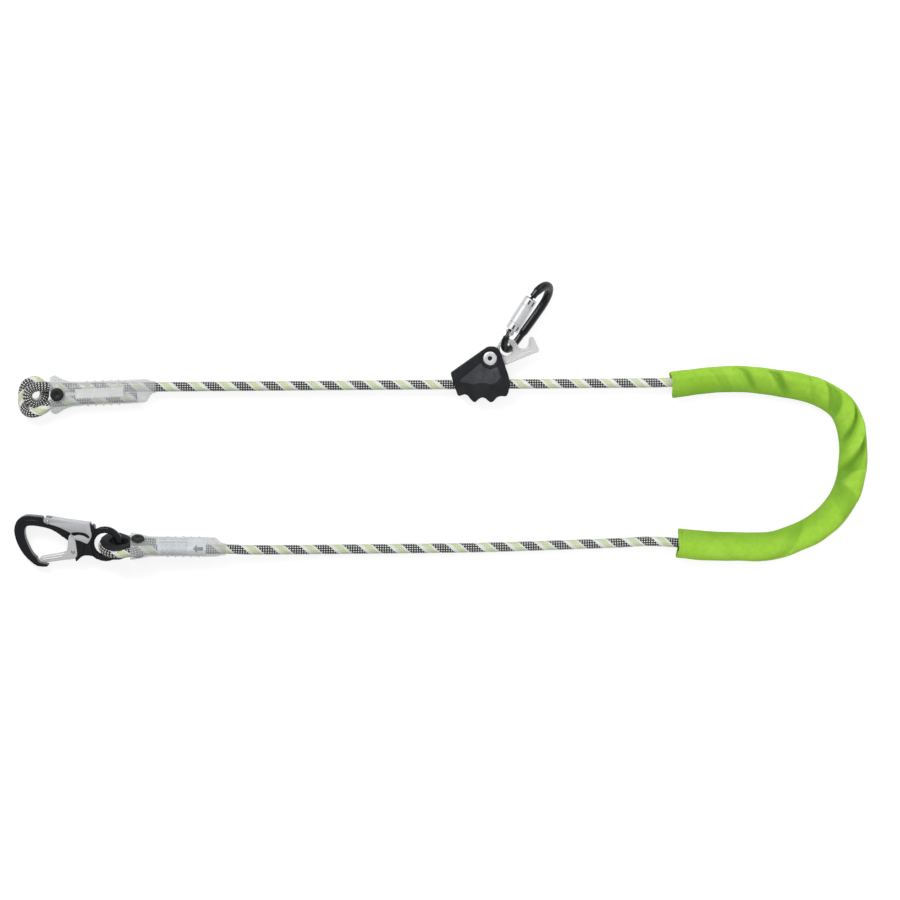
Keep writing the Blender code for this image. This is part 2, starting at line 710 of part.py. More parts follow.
def build_end(label_name, at, turn, cover_length, side, tail_end):
    """One sewn end: its carrier, eye, seam, cover and plug."""
    carrier = empty("frame_" + label_name, at, turn)
    if side > 0:
        build_upper_eye(carrier)
    else:
        build_lower_eye(carrier)
    build_seam("stitching_" + label_name, tail_end - SEAM_END_BACK, side, carrier)
    cover = build_cover("cover_" + label_name, cover_length, side, carrier)
    build_plug("plug_" + label_name, cover_half_height() * MOUTH_HEIGHT_SHARE + COVER_WALL, carrier)
    hole = rod("cut_plug_" + label_name, PLUG_HOLE_RADIUS, -PLUG_AT, PLUG_AT, (PLUG_AT, 0.0),
               carrier, BLACK_PLASTIC, 16)
    cut(cover, hole)
    return carrier


# Rope and its sleeve

# Route of the loose rope between the two covers, upper run first: straight to the sleeve, round
# the bend on the sleeve's floor, and back along the ground
ROPE_ROUTE = (
    (0.2400, 0.0526, 0.0135), (0.2700, 0.0531, 0.0131), (0.3000, 0.0545, 0.0117),
    (0.3338, 0.0570, 0.0097), (0.3688, 0.0583, 0.0082), (0.3950, 0.0566, 0.0084),
    (0.4225, 0.0529, 0.0083), (0.4475, 0.0480, 0.0083), (0.4733, 0.0394, 0.0083),
    (0.4950, 0.0236, 0.0083), (0.5072, 0.0006, 0.0083), (0.5113, -0.0271, 0.0083),
    (0.5100, -0.0549, 0.0083), (0.5028, -0.0830, 0.0083), (0.4884, -0.1072, 0.0083),
    (0.4680, -0.1262, 0.0083), (0.4446, -0.1390, 0.0083), (0.4094, -0.1500, 0.0083),
    (0.3631, -0.1515, 0.0083), (0.3294, -0.1500, 0.0083), (0.2958, -0.1468, 0.0081),
    (0.2600, -0.1448, 0.0067), (0.2175, -0.1469, 0.0064), (0.1575, -0.1491, 0.0064),
    (0.0975, -0.1512, 0.0064), (0.0375, -0.1528, 0.0064), (-0.0225, -0.1537, 0.0064),
    (-0.0825, -0.1543, 0.0064), (-0.1225, -0.1547, 0.0069), (-0.1625, -0.1551, 0.0085),
    (-0.2025, -0.1553, 0.0116), (-0.2400, -0.1553, 0.0152))

# Middle line of the sleeve, from the end over the upper run to the end over the lower run
SLEEVE_ROUTE = (
    (0.2846, 0.0508), (0.3338, 0.0570), (0.3688, 0.0585), (0.3950, 0.0566), (0.4225, 0.0529),
    (0.4475, 0.0485), (0.4733, 0.0401), (0.4975, 0.0241), (0.5094, 0.0006), (0.5135, -0.0271),
    (0.5121, -0.0549), (0.5046, -0.0840), (0.4895, -0.1084), (0.4688, -0.1271),
    (0.4454, -0.1396), (0.4094, -0.1513), (0.3631, -0.1519), (0.3294, -0.1510),
    (0.2924, -0.1476))


def even(points, spacing):
    """Points at even steps along a dense line."""
    known = [Vector(p) for p in points]
    walk = [0.0]
    for first, second in zip(known, known[1:]):
        walk.append(walk[-1] + (second - first).length)
    count = max(2, round(walk[-1] / spacing))
    result = []
    span = 0
    for step in range(count + 1):
        target = walk[-1] * step / count
        while span < len(known) - 2 and walk[span + 1] < target:
            span += 1
        share = (target - walk[span]) / (walk[span + 1] - walk[span])
        result.append(known[span].lerp(known[span + 1], min(max(share, 0.0), 1.0)))
    return result


def run_point(x, height=RUN_HEIGHT):
    """A point on the straight upper run."""
    return Vector((x, RUN_START.y + (x - RUN_START.x) * math.tan(RUN_YAW), height))


def build_rope(upper, lower):
    """The loose rope from cut to cut, hidden inside the covers at both ends."""
    start = upper.matrix_world @ Vector((UPPER_ROPE_JOIN + FIT_GAP, main_leg_offset(
        UPPER_ROPE_JOIN + FIT_GAP, UPPER_COVER_LENGTH), 0.0))
    straight_end = run_point(RUN_STRAIGHT_END)
    out = lower.matrix_world @ Vector((LOWER_COVER_LENGTH, -NECK_OFFSET, 0.0))
    end = lower.matrix_world @ Vector((LOWER_ROPE_JOIN + FIT_GAP, -main_leg_offset(
        LOWER_ROPE_JOIN + FIT_GAP, LOWER_COVER_LENGTH), 0.0))
    line = smooth([straight_end, *ROPE_ROUTE, out, end], 12, cyclic=False)
    spaced = even(line, ROPE_DIAMETER * ROPE_STEP)
    joined = [start.lerp(straight_end, k / ROPE_RUN_STEPS) for k in range(ROPE_RUN_STEPS)] + spaced
    length = sum((b - a).length for a, b in zip(joined, joined[1:]))
    print(f"rope: {len(joined)} points, {length:.3f} m from cut to cut")
    return tube("rope_run", joined, ROPE_DIAMETER / 2, None, ROPE_MATERIAL)


def build_sleeve():
    """The fabric sleeve: an oval tube that lies on the ground round the bend, softly folded."""
    middle_height = SLEEVE_HEIGHT / 2 + FIT_GAP
    line = smooth([(x, y, middle_height) for x, y in SLEEVE_ROUTE], 8, cyclic=False)
    spaced = even(line, SLEEVE_STEP)
    walk = [0.0]
    for first, second in zip(spaced, spaced[1:]):
        walk.append(walk[-1] + (second - first).length)
    print(f"sleeve: {walk[-1]:.3f} m long")
    outer, inner = [], []
    for index, centre in enumerate(spaced):
        ahead = spaced[min(index + 1, len(spaced) - 1)] - spaced[max(index - 1, 0)]
        across = Vector((ahead.y, -ahead.x, 0.0)).normalized()
        for wall, rings in ((0.0, outer), (SLEEVE_WALL, inner)):
            ring = []
            for k in range(SLEEVE_SIDES):
                angle = math.tau * k / SLEEVE_SIDES
                c, s = math.cos(angle), math.sin(angle)
                fold = SLEEVE_FOLD * math.sin(math.tau * walk[index] / SLEEVE_FOLD_PITCH + angle)
                fold *= max(0.0, s + SLEEVE_FLAT_SHARE)
                side = (SLEEVE_WIDTH / 2 - wall - SLEEVE_FOLD) * math.copysign(abs(c) ** 0.8, c)
                rise = (SLEEVE_HEIGHT / 2 - wall) * math.copysign(abs(s) ** 0.8, s)
                ring.append(centre + across * (side + fold * c) + Vector((0.0, 0.0, rise + fold * s
                                                                          - SLEEVE_FOLD * max(s, 0.0))))
            rings.append(ring)
    return loft("rope_protector", outer + list(reversed(inner)), None, LIME_FABRIC, closed_ring=True)


# Snap hook

HOOK_FRAME_SHARE = (
    (-0.861, -0.278), (-0.951, -0.214), (-1.028, -0.131), (-1.085, -0.035), (-1.123, 0.066),
    (-1.139, 0.181), (-1.110, 0.284), (-1.053, 0.341), (-0.983, 0.366), (-0.900, 0.362),
    (-0.810, 0.354), (-0.772, 0.344), (-0.758, 0.318), (-0.690, 0.316), (-0.640, 0.280),
    (-0.480, 0.212), (-0.330, 0.165), (-0.225, 0.148), (-0.172, 0.225), (-0.148, 0.252),
    (-0.118, 0.225), (-0.125, 0.150), (-0.170, 0.000), (-0.145, -0.130))
HOOK_FRAME_BELOW_SHARE = (
    (-0.100, -0.196), (-0.158, -0.150), (-0.250, -0.141), (-0.300, -0.160), (-0.352, -0.206),
    (-0.372, -0.215), (-0.395, -0.150), (-0.402, -0.060), (-0.440, 0.020), (-0.500, 0.070),
    (-0.561, 0.124), (-0.676, 0.195), (-0.824, 0.230), (-0.930, 0.240), (-0.985, 0.222),
    (-1.008, 0.165), (-0.999, 0.066), (-0.945, -0.074), (-0.905, -0.140), (-0.868, -0.172),
    (-0.852, -0.226), (-0.800, -0.244), (-0.735, -0.256), (-0.740, -0.284))
HOOK_GATE_SHARE = (
    (-0.374, 0.086), (-0.392, 0.118), (-0.423, 0.126), (-0.450, 0.108), (-0.462, 0.060),
    (-0.470, -0.010), (-0.482, -0.070), (-0.512, -0.104), (-0.645, -0.131), (-0.795, -0.158),
    (-0.832, -0.180), (-0.826, -0.222), (-0.720, -0.226), (-0.560, -0.204), (-0.430, -0.190),
    (-0.372, -0.172), (-0.352, -0.120), (-0.358, -0.030))
HOOK_GATE_PIVOT = (-0.402, -0.092)
HOOK_LEVER_SHARE = (
    (-0.755, 0.300), (-0.748, 0.336), (-0.715, 0.346), (-0.479, 0.306), (-0.224, 0.271),
    (-0.178, 0.262), (-0.165, 0.180), (-0.158, 0.108), (-0.205, 0.026), (-0.235, 0.022),
    (-0.300, 0.052), (-0.379, 0.076), (-0.418, 0.150), (-0.454, 0.172), (-0.518, 0.205),
    (-0.613, 0.245), (-0.725, 0.276))
HOOK_RAIL_SHARE = ((-0.660, 0.335), (-0.479, 0.3055), (-0.224, 0.2705), (-0.190, 0.264))
HOOK_LEVER_HOLE_SHARE = (
    (-0.425, 0.132), (-0.405, 0.158), (-0.319, 0.164), (-0.235, 0.150), (-0.184, 0.108),
    (-0.198, 0.080), (-0.250, 0.112), (-0.325, 0.128), (-0.395, 0.112))
HOOK_LEVER_PIVOT = (-0.705, 0.290)


def at_share(pair, reach):
    """A place in the plane from a pair of shares."""
    return (pair[0] * reach, pair[1] * reach)


def coil(name, radius, wire, pitch, turns, centre, parent):
    """A small torsion spring about the carrier's Z."""
    count = turns * COIL_POINTS
    rise = pitch * turns
    points = [(centre[0] + radius * math.cos(math.tau * k / COIL_POINTS),
               centre[1] + radius * math.sin(math.tau * k / COIL_POINTS),
               rise * (k / count - 0.5)) for k in range(count + 1)]
    print(f"{name}: least gap between turns {(pitch - 2 * wire) * 1000:.2f} mm")
    return tube(name, points, wire, parent, STEEL, COIL_SIDES)


def cheek_cut(name, outline, low, high, made, parent):
    """Take an outline away from a piece between two heights on both faces."""
    for sign in (1, -1):
        bottom, top = sorted((sign * low, sign * high))
        cut(made, plate(f"{name}_{sign}", [outline], bottom, top, parent, BLACK_ALLOY))


def build_hook_frame(parent):
    """The forged body: a hooked bar, a thin web between the gate's cheeks, and the ring."""
    outline = scaled(HOOK_FRAME_SHARE + HOOK_FRAME_BELOW_SHARE, HOOK_REACH)
    made = plate("hook_frame", [smooth(outline, 2)], -HOOK_HALF, HOOK_HALF, parent, BLACK_ALLOY,
                 HOOK_EDGE)
    gate_pivot = at_share(HOOK_GATE_PIVOT, HOOK_REACH)
    lever_pivot = at_share(HOOK_LEVER_PIVOT, HOOK_REACH)
    pocket = [(gate_pivot[0] + radius * math.cos(math.radians(angle)),
               gate_pivot[1] + radius * math.sin(math.radians(angle)))
              for radius, angle in ((HOOK_POCKET, 215), (HOOK_POCKET, 270), (HOOK_POCKET, 315),
                                    (HOOK_POCKET, 0), (HOOK_POCKET_TOP, 42), (HOOK_POCKET_TOP, 68),
                                    (HOOK_POCKET_TOP, 92), (HOOK_POCKET_TOP, 120),
                                    (HOOK_POCKET, 165))]
    cheek_cut("cut_hook_pocket", pocket, HOOK_WEB_HALF, HOOK_HALF + CUT_OVERRUN, made, parent)
    ring = plate("hook_ring", [circle(HOOK_RING_OUTER, 24), circle(HOOK_RING_OUTER - HOOK_RING_BAR, 20)],
                 -HOOK_RING_HALF, HOOK_RING_HALF, parent, BLACK_ALLOY, HOOK_EDGE)
    join(made, ring)
    for label, pivot, pin, spring_radius, half in (
            ("gate", gate_pivot, HOOK_PIN_RADIUS, HOOK_GATE_COIL, HOOK_WEB_HALF),
            ("lever", lever_pivot, HOOK_LEVER_PIN_RADIUS, HOOK_LEVER_COIL, HOOK_HALF)):
        cut(made, rod(f"cut_{label}_pin", pin + FIT_GAP, -HOOK_HALF * 2, HOOK_HALF * 2, pivot, parent,
                      STEEL, 16))
        room = spring_radius + SPRING_WIRE / 2 + FIT_GAP
        depth = half - HOOK_EYE_WALL
        cut(made, rod(f"cut_{label}_spring", room, -depth, depth, pivot, parent, STEEL, 16))
    return made


def build_hook_gate(parent):
    """The gate: a cast arm that closes the nose, forked over the frame's web at its pivot."""
    pivot = at_share(HOOK_GATE_PIVOT, HOOK_REACH)
    outline = scaled(HOOK_GATE_SHARE, HOOK_REACH)
    made = plate("hook_gate", [smooth(outline, 2)], -HOOK_GATE_HALF, HOOK_GATE_HALF, parent,
                 CAST_ALLOY, HOOK_EDGE / 2)
    fork = HOOK_REACH * HOOK_FORK_SHARE
    slot = [(pivot[0] - fork, pivot[1] - fork * 2), (pivot[0] + fork * 2, pivot[1] - fork * 2),
            (pivot[0] + fork * 2, pivot[1] + fork * 3), (pivot[0] - fork, pivot[1] + fork * 3)]
    inner = HOOK_WEB_HALF + FIT_GAP
    cut(made, plate("cut_gate_fork", [slot], -inner, inner, parent, CAST_ALLOY))
    cut(made, rod("cut_gate_hole", HOOK_PIN_RADIUS + FIT_GAP, -HOOK_HALF * 2, HOOK_HALF * 2, pivot,
                  parent, STEEL, 16))
    return made


def build_hook_lever(parent):
    """The lock lever: two cheeks beside the spine, joined by a rail along their upper edge."""
    pivot = at_share(HOOK_LEVER_PIVOT, HOOK_REACH)
    outline = smooth(scaled(HOOK_LEVER_SHARE, HOOK_REACH), 2)
    window = smooth(scaled(HOOK_LEVER_HOLE_SHARE, HOOK_REACH), 2)
    made = plate("hook_lever", [outline, window], HOOK_LEVER_INNER, HOOK_LEVER_HALF, parent,
                 BARE_ALLOY)
    other = plate("hook_lever_other", [outline, window], -HOOK_LEVER_HALF, -HOOK_LEVER_INNER, parent,
                  BARE_ALLOY)
    rail_top = scaled(HOOK_RAIL_SHARE, HOOK_REACH)
    rail = rail_top + [(x, y - HOOK_RAIL) for x, y in reversed(rail_top)]
    bridge = plate("hook_lever_rail", [rail], -HOOK_LEVER_HALF + FIT_GAP, HOOK_LEVER_HALF - FIT_GAP,
                   parent, BARE_ALLOY)
    join(join(made, bridge), other)
    cut(made, rod("cut_lever_hole", HOOK_LEVER_PIN_RADIUS + FIT_GAP, -HOOK_HALF * 2, HOOK_HALF * 2,
                  pivot, parent, STEEL, 16))
    return made


def build_hook():
    """The snap hook on the lower end's thimble."""
    carrier = empty("frame_hook", HOOK_RING_AT, Euler((HOOK_ROLL, HOOK_PITCH, 0.0)))
    gate_pivot = at_share(HOOK_GATE_PIVOT, HOOK_REACH)
    lever_pivot = at_share(HOOK_LEVER_PIVOT, HOOK_REACH)
    build_hook_frame(carrier)
    build_hook_gate(carrier)
    build_hook_lever(carrier)
    headed_pin("hook_gate_rivet", HOOK_PIN_RADIUS, HOOK_GATE_HALF + FIT_GAP, HOOK_PIN_HEAD_RADIUS,
               HOOK_GATE_HEAD, gate_pivot, carrier, STEEL)
    headed_pin("hook_lever_rivet", HOOK_LEVER_PIN_RADIUS, HOOK_LEVER_HALF + FIT_GAP,
               HOOK_PIN_HEAD_RADIUS, HOOK_PIN_HEAD, lever_pivot, carrier, STEEL)
    coil("hook_gate_spring", HOOK_GATE_COIL, SPRING_WIRE / 2, SPRING_PITCH, SPRING_TURNS,
         gate_pivot, carrier)
    coil("hook_lever_spring", HOOK_LEVER_COIL, SPRING_WIRE / 2, SPRING_PITCH, SPRING_TURNS,
         lever_pivot, carrier)
    return carrier


# Cam adjuster

GRIP_SHARE = (
    (-0.100, 0.262), (-0.976, -0.345), (-0.976, -0.405), (-0.902, -0.660), (-0.818, -0.905))
GRIP_FINGER_SHARE = (
    (-0.780, -0.935), (-0.720, -0.915), (-0.630, -0.890), (-0.560, -0.925), (-0.480, -1.030),
    (-0.420, -1.085), (-0.370, -1.090), (-0.310, -1.030), (-0.240, -0.985), (-0.175, -0.975),
    (-0.110, -1.005), (-0.030, -1.080), (0.030, -1.100), (0.090, -1.065), (0.160, -0.985),
    (0.230, -0.950), (0.310, -0.945), (0.385, -0.955), (0.420, -0.930))
GRIP_RIGHT_SHARE = ((0.462, -0.850), (0.503, -0.600), (0.462, -0.420), (0.262, 0.170))
GRIP_TOP_SHARE = ((0.215, 0.245), (0.120, 0.290), (0.000, 0.296), (-0.060, 0.284))
PANEL_SHARE = (
    (-0.215, -0.090), (-0.620, -0.435), (-0.780, -0.575), (-0.560, -0.600), (-0.420, -0.640),
    (-0.280, -0.600), (-0.120, -0.600), (0.000, -0.640), (0.140, -0.600), (0.270, -0.455),
    (0.175, -0.185), (0.000, -0.265))
SIDE_PLATE_SHARE = (
    (-0.190, 0.060), (-0.160, 0.165), (-0.075, 0.225), (0.060, 0.225), (0.150, 0.150),
    (0.300, -0.400), (0.400, -0.560), (0.400, -0.760), (0.330, -0.870), (-0.600, -0.870),
    (-0.720, -0.720), (-0.760, -0.480))
CAM_SHARE = (
    (0.030, 0.125), (0.150, 0.265), (0.262, 0.408), (0.380, 0.412), (0.520, 0.365),
    (0.575, 0.275), (0.625, 0.205), (0.690, 0.190), (0.760, 0.215), (0.805, 0.290),
    (0.815, 0.380), (0.840, 0.430), (0.895, 0.432), (0.940, 0.360), (1.025, 0.165),
    (1.010, 0.115), (0.960, 0.105), (0.640, -0.020), (0.320, -0.150), (0.215, -0.225),
    (0.150, -0.345))
CAM_HOLE_AT = (0.340, 0.180)
PANEL_PARTS = ("front", "back")


def side_sign(side):
    """+1 for the face towards the viewer, -1 for the other."""
    return 1 if side == "front" else -1


def mirrored(low, high, sign):
    """A pair of heights on one side of the middle plane, in order."""
    return sorted((sign * low, sign * high))


def build_grip(side, parent):
    """One moulded half of the grip: a cheek, and the finger block that closes round the rope."""
    sign = side_sign(side)
    outline = scaled(GRIP_SHARE + GRIP_FINGER_SHARE + GRIP_RIGHT_SHARE + GRIP_TOP_SHARE, GRIP_REACH)
    cheek_low = CHANNEL_HALF + STEEL_WALL + FIT_GAP
    cheek_high = cheek_low + GRIP_WALL
    low, high = mirrored(cheek_low, cheek_high, sign)
    made = plate("grip_" + side, [outline], low, high, parent, BLACK_PLASTIC, GRIP_WALL / 3)
    block_top = -PIVOT_TO_ROPE - CHANNEL_HALF - ANVIL_DEPTH - FIT_GAP
    fingers = scaled(GRIP_SHARE[-2:] + GRIP_FINGER_SHARE + GRIP_RIGHT_SHARE[:2], GRIP_REACH)
    inset = [(x * GRIP_BLOCK_SHARE, y) for x, y in fingers if y < block_top]
    block = [(inset[0][0], block_top)] + inset + [(inset[-1][0], block_top)]
    low, high = mirrored(FIT_GAP / 2, cheek_low + GRIP_WALL / 3, sign)
    join(made, plate("grip_block_" + side, [block], low, high, parent, BLACK_PLASTIC))
    cut(made, rod("cut_pivot_" + side, PIVOT_SHAFT_RADIUS + FIT_GAP, -PIVOT_TO_ROPE, PIVOT_TO_ROPE,
                  (0.0, 0.0), parent, STEEL, 16))
    low, high = mirrored(cheek_high - PANEL_DEPTH, cheek_high + CUT_OVERRUN, sign)
    cut(made, rod("cut_recess_" + side, PIVOT_RECESS_RADIUS, low, high, (0.0, 0.0), parent, STEEL, 22))
    if side == "front":
        cut(made, plate("cut_panel", [rounded(scaled(PANEL_SHARE, GRIP_REACH), PANEL_DEPTH * 3)],
                        low, high, parent, BLACK_PLASTIC))
    return made


def build_side_plate(side, parent):
    """One steel side plate between the cam and the grip."""
    sign = side_sign(side)
    low, high = mirrored(CHANNEL_HALF, CHANNEL_HALF + STEEL_WALL, sign)
    outline = rounded(scaled(SIDE_PLATE_SHARE, GRIP_REACH), STEEL_WALL, 1)
    made = plate("side_plate_" + side, [outline], low, high, parent, BARE_ALLOY)
    cut(made, rod("cut_plate_pivot_" + side, PIVOT_SHAFT_RADIUS + FIT_GAP, -PIVOT_TO_ROPE,
                  PIVOT_TO_ROPE, (0.0, 0.0), parent, STEEL, 16))
    for x in rivet_places():
        cut(made, rod(f"cut_plate_rivet_{side}", FRAME_RIVET_RADIUS + FIT_GAP, -PIVOT_TO_ROPE,
                      PIVOT_TO_ROPE, (x, anvil_middle()), parent, STEEL, 12))
    return made


def anvil_middle():
    """Height of the anvil's rivets above the pivot."""
    return -PIVOT_TO_ROPE - CHANNEL_HALF - ANVIL_DEPTH / 2


def rivet_places():
    """Places of the two anvil rivets along the rope."""
    return (-FRAME_RIVET_SPACING, FRAME_RIVET_SPACING)


def build_anvil(parent):
    """The saddle that the cam presses the rope against: a block with a round-bottomed channel."""
    top = -PIVOT_TO_ROPE - CHANNEL_HALF
    low = top - ANVIL_DEPTH
    half = CHANNEL_HALF - FIT_GAP
    made = plate("rope_anvil", [rounded([(-ANVIL_HALF_LENGTH, low), (ANVIL_HALF_LENGTH, low),
                                         (ANVIL_HALF_LENGTH, top), (-ANVIL_HALF_LENGTH, top)],
                                        ANVIL_DEPTH / 4)], -half, half, parent, STEEL)
    for x in rivet_places():
        cut(made, rod("cut_anvil_rivet", FRAME_RIVET_RADIUS + FIT_GAP, -CHANNEL_HALF * 2,
                      CHANNEL_HALF * 2, (x, anvil_middle()), parent, STEEL, 12))
    return made


def build_cam(parent):
    """The cam: a lobe over the rope, an arm with the carabiner's hole, and a hooked tail."""
    outline = scaled(CAM_SHARE, CAM_REACH)
    lobe_radius = PIVOT_TO_ROPE - ROPE_DIAMETER / 2 - CAM_ROPE_GAP
    lobe = [(math.cos(math.radians(a)) * lobe_radius, math.sin(math.radians(a)) * lobe_radius)
            for a in range(290, 250, -10)]
    hub = [(math.cos(math.radians(a)) * CAM_HUB_RADIUS, math.sin(math.radians(a)) * CAM_HUB_RADIUS)
           for a in range(230, 90, -20)]
    hole_at = at_share(CAM_HOLE_AT, CAM_REACH)
    made = plate("cam", [outline + lobe + hub, circle(CAM_HOLE_RADIUS, 22, hole_at)],
                 -CAM_ARM_HALF, CAM_ARM_HALF, parent, CAST_ALLOY)
    full = CHANNEL_HALF - FIT_GAP
    boss = rod("cam_boss", CAM_HUB_RADIUS - FIT_GAP, -full, CAM_ARM_HALF, (0.0, 0.0), parent,
               CAST_ALLOY, 20)
    join(made, boss)
    nose = [(x * CAM_NOSE_SHARE, y) for x, y in lobe] + [(-CAM_HUB_RADIUS / 2, -CAM_HUB_RADIUS / 2),
                                                         (CAM_HUB_RADIUS / 2, -CAM_HUB_RADIUS / 2)]
    join(made, plate("cam_shoe", [nose], -full, CAM_ARM_HALF, parent, CAST_ALLOY))
    bore = PIVOT_SHAFT_RADIUS + FIT_GAP + BUSH_WALL + FIT_GAP
    cut(made, rod("cut_cam_bore", bore, -PIVOT_TO_ROPE, PIVOT_TO_ROPE, (0.0, 0.0), parent, STEEL, 16))
    return made


def build_pivot(parent):
    """The pivot: a bolt with a round head in front, its nut behind, and the cam's bush."""
    face = CHANNEL_HALF + STEEL_WALL + FIT_GAP + GRIP_WALL - PANEL_DEPTH + FIT_GAP
    shaft_end = -face - PIVOT_HEAD
    bolt = turned("pivot_bolt", [(PIVOT_HEAD_RADIUS * 0.82, face + PIVOT_HEAD),
                                 (PIVOT_HEAD_RADIUS, face + PIVOT_HEAD * 0.55),
                                 (PIVOT_HEAD_RADIUS, face), (PIVOT_SHAFT_RADIUS, face),
                                 (PIVOT_SHAFT_RADIUS, shaft_end)], parent, BARE_ALLOY, 20)
    socket = plate("cut_bolt_socket", [circle(PIVOT_SHAFT_RADIUS * 0.62, 6)],
                   face + PIVOT_HEAD - PANEL_DEPTH * 2, face + PIVOT_HEAD + CUT_OVERRUN, parent, STEEL)
    cut(bolt, socket)
    plate("pivot_nut", [circle(PIVOT_HEAD_RADIUS * 0.9, 6),
                        circle(PIVOT_SHAFT_RADIUS + FIT_GAP, 16)], -face - PIVOT_HEAD, -face, parent,
          BARE_ALLOY)
    bush = CHANNEL_HALF - FIT_GAP
    plate("cam_bush", [circle(PIVOT_SHAFT_RADIUS + FIT_GAP + BUSH_WALL, 16),
                       circle(PIVOT_SHAFT_RADIUS + FIT_GAP, 16)], -bush, bush, parent, STEEL)


def build_adjuster():
    """The adjuster on the straight run: grip, side plates, anvil, cam, pivot and spring."""
    turn = Matrix.Rotation(RUN_YAW, 3, "Z") @ Matrix.Rotation(ADJUSTER_TILT, 3, "X")
    carrier = empty("frame_adjuster", run_point(ADJUSTER_RUN_X), turn)
    pivot = empty("axis_cam", (0.0, PIVOT_TO_ROPE, 0.0), None, carrier)
    for side in PANEL_PARTS:
        build_grip(side, pivot)
        build_side_plate(side, pivot)
    build_anvil(pivot)
    build_cam(pivot)
    build_pivot(pivot)
    middle = (CHANNEL_HALF - FIT_GAP + CAM_ARM_HALF) / 2
    bush = PIVOT_SHAFT_RADIUS + FIT_GAP + BUSH_WALL
    spring = coil("cam_spring", (bush + FIT_GAP + SPRING_WIRE / 2) / math.cos(math.pi / COIL_POINTS),
                  SPRING_WIRE / 2, SPRING_PITCH, CAM_SPRING_TURNS, (0.0, 0.0), pivot)
    spring.data.transform(Matrix.Translation((0.0, 0.0, middle)))
    grip_half = CHANNEL_HALF + STEEL_WALL
    for label, x in zip(("left", "right"), rivet_places()):
        rod("anvil_rivet_" + label, FRAME_RIVET_RADIUS, -grip_half, grip_half, (x, anvil_middle()),
            pivot, STEEL, 14)
    return carrier


# Carabiner

BOW_SHARE = (
    (0.172, 0.304), (0.140, 0.295), (0.098, 0.268), (0.060, 0.205), (0.0475, 0.130),
    (0.062, 0.060), (0.110, 0.014), (0.180, 0.000), (0.330, -0.002), (0.500, -0.004),
    (0.670, 0.000), (0.800, 0.014), (0.900, 0.055), (0.962, 0.120), (0.982, 0.190),
    (0.968, 0.265), (0.925, 0.325), (0.865, 0.362), (0.800, 0.378), (0.758, 0.384))


def sweep(name, path, half_width, half_thick, boxiness, parent, finish, sides=10):
    """A bar of oval section along a path in the carrier's plane."""
    rings = []
    for index, centre in enumerate(path):
        ahead = path[min(index + 1, len(path) - 1)] - path[max(index - 1, 0)]
        across = Vector((ahead.y, -ahead.x)).normalized()
        ring = []
        for k in range(sides):
            angle = math.tau * (k + 0.5) / sides
            c, s = math.cos(angle), math.sin(angle)
            out = math.copysign(half_width * abs(c) ** (2 / boxiness), c)
            rise = math.copysign(half_thick * abs(s) ** (2 / boxiness), s)
            ring.append((centre.x + across.x * out, centre.y + across.y * out, rise))
        rings.append(ring)
    return loft(name, rings, parent, finish)


def gate_axis():
    """Root of the gate, its direction and its length in the carabiner's plane."""
    root = Vector(at_share(GATE_ROOT, CARABINER_REACH))
    top = Vector(at_share(GATE_TOP, CARABINER_REACH))
    return root, (top - root).normalized(), (top - root).length


def along_gate(made):
    """Turn a piece made about Z onto the gate's line, its Z along the gate."""
    root, line, _ = gate_axis()
    turn = Matrix.Rotation(math.atan2(line.y, line.x), 4, "Z") @ Matrix.Rotation(math.pi / 2, 4, "Y")
    made.data.transform(Matrix.Translation((root.x, root.y, 0.0)) @ turn)
    return made


def build_carabiner_frame(parent):
    """The forged bow: hinge tongue, base, spine, top and the key that the gate closes on."""
    path = smooth(scaled(BOW_SHARE, CARABINER_REACH), 2, cyclic=False)
    made = sweep("carabiner_frame", path, CARABINER_BAR_WIDTH / 2, CARABINER_BAR_THICK / 2, 2.4,
                 parent, BLACK_ALLOY)
    root, line, length = gate_axis()
    start = Vector(at_share(BOW_SHARE[0], CARABINER_REACH))
    back = start - Vector((CARABINER_BAR_WIDTH / 3, 0.0))
    half = GATE_RADIUS * TONGUE_HEIGHT_SHARE
    rounding = [(root.x + half * math.cos(math.radians(a)), root.y + half * math.sin(math.radians(a)))
                for a in range(-80, 100, 20)]
    tongue = [(back.x, back.y - half)] + rounding + [(back.x, back.y + half)]
    join(made, plate("carabiner_tongue", [tongue], -TONGUE_HALF, TONGUE_HALF, parent, BLACK_ALLOY))
    cut(made, rod("cut_gate_pin", GATE_PIN_RADIUS + FIT_GAP, -GATE_RADIUS * 2, GATE_RADIUS * 2, root,
                  parent, STEEL, 14))
    key_start = length + KEY_GAP
    shoulder = (Vector(at_share(BOW_SHARE[-1], CARABINER_REACH)) - root).dot(line)
    profile = [(KEY_HEAD_RADIUS, key_start), (KEY_HEAD_RADIUS, key_start + KEY_HEAD),
               (KEY_HEAD_RADIUS * KEY_NECK_SHARE, key_start + KEY_HEAD * 1.4),
               (KEY_HEAD_RADIUS * KEY_NECK_SHARE, shoulder + CARABINER_BAR_WIDTH / 4)]
    join(made, along_gate(turned("carabiner_key", profile, parent, BLACK_ALLOY, 14)))
    return made


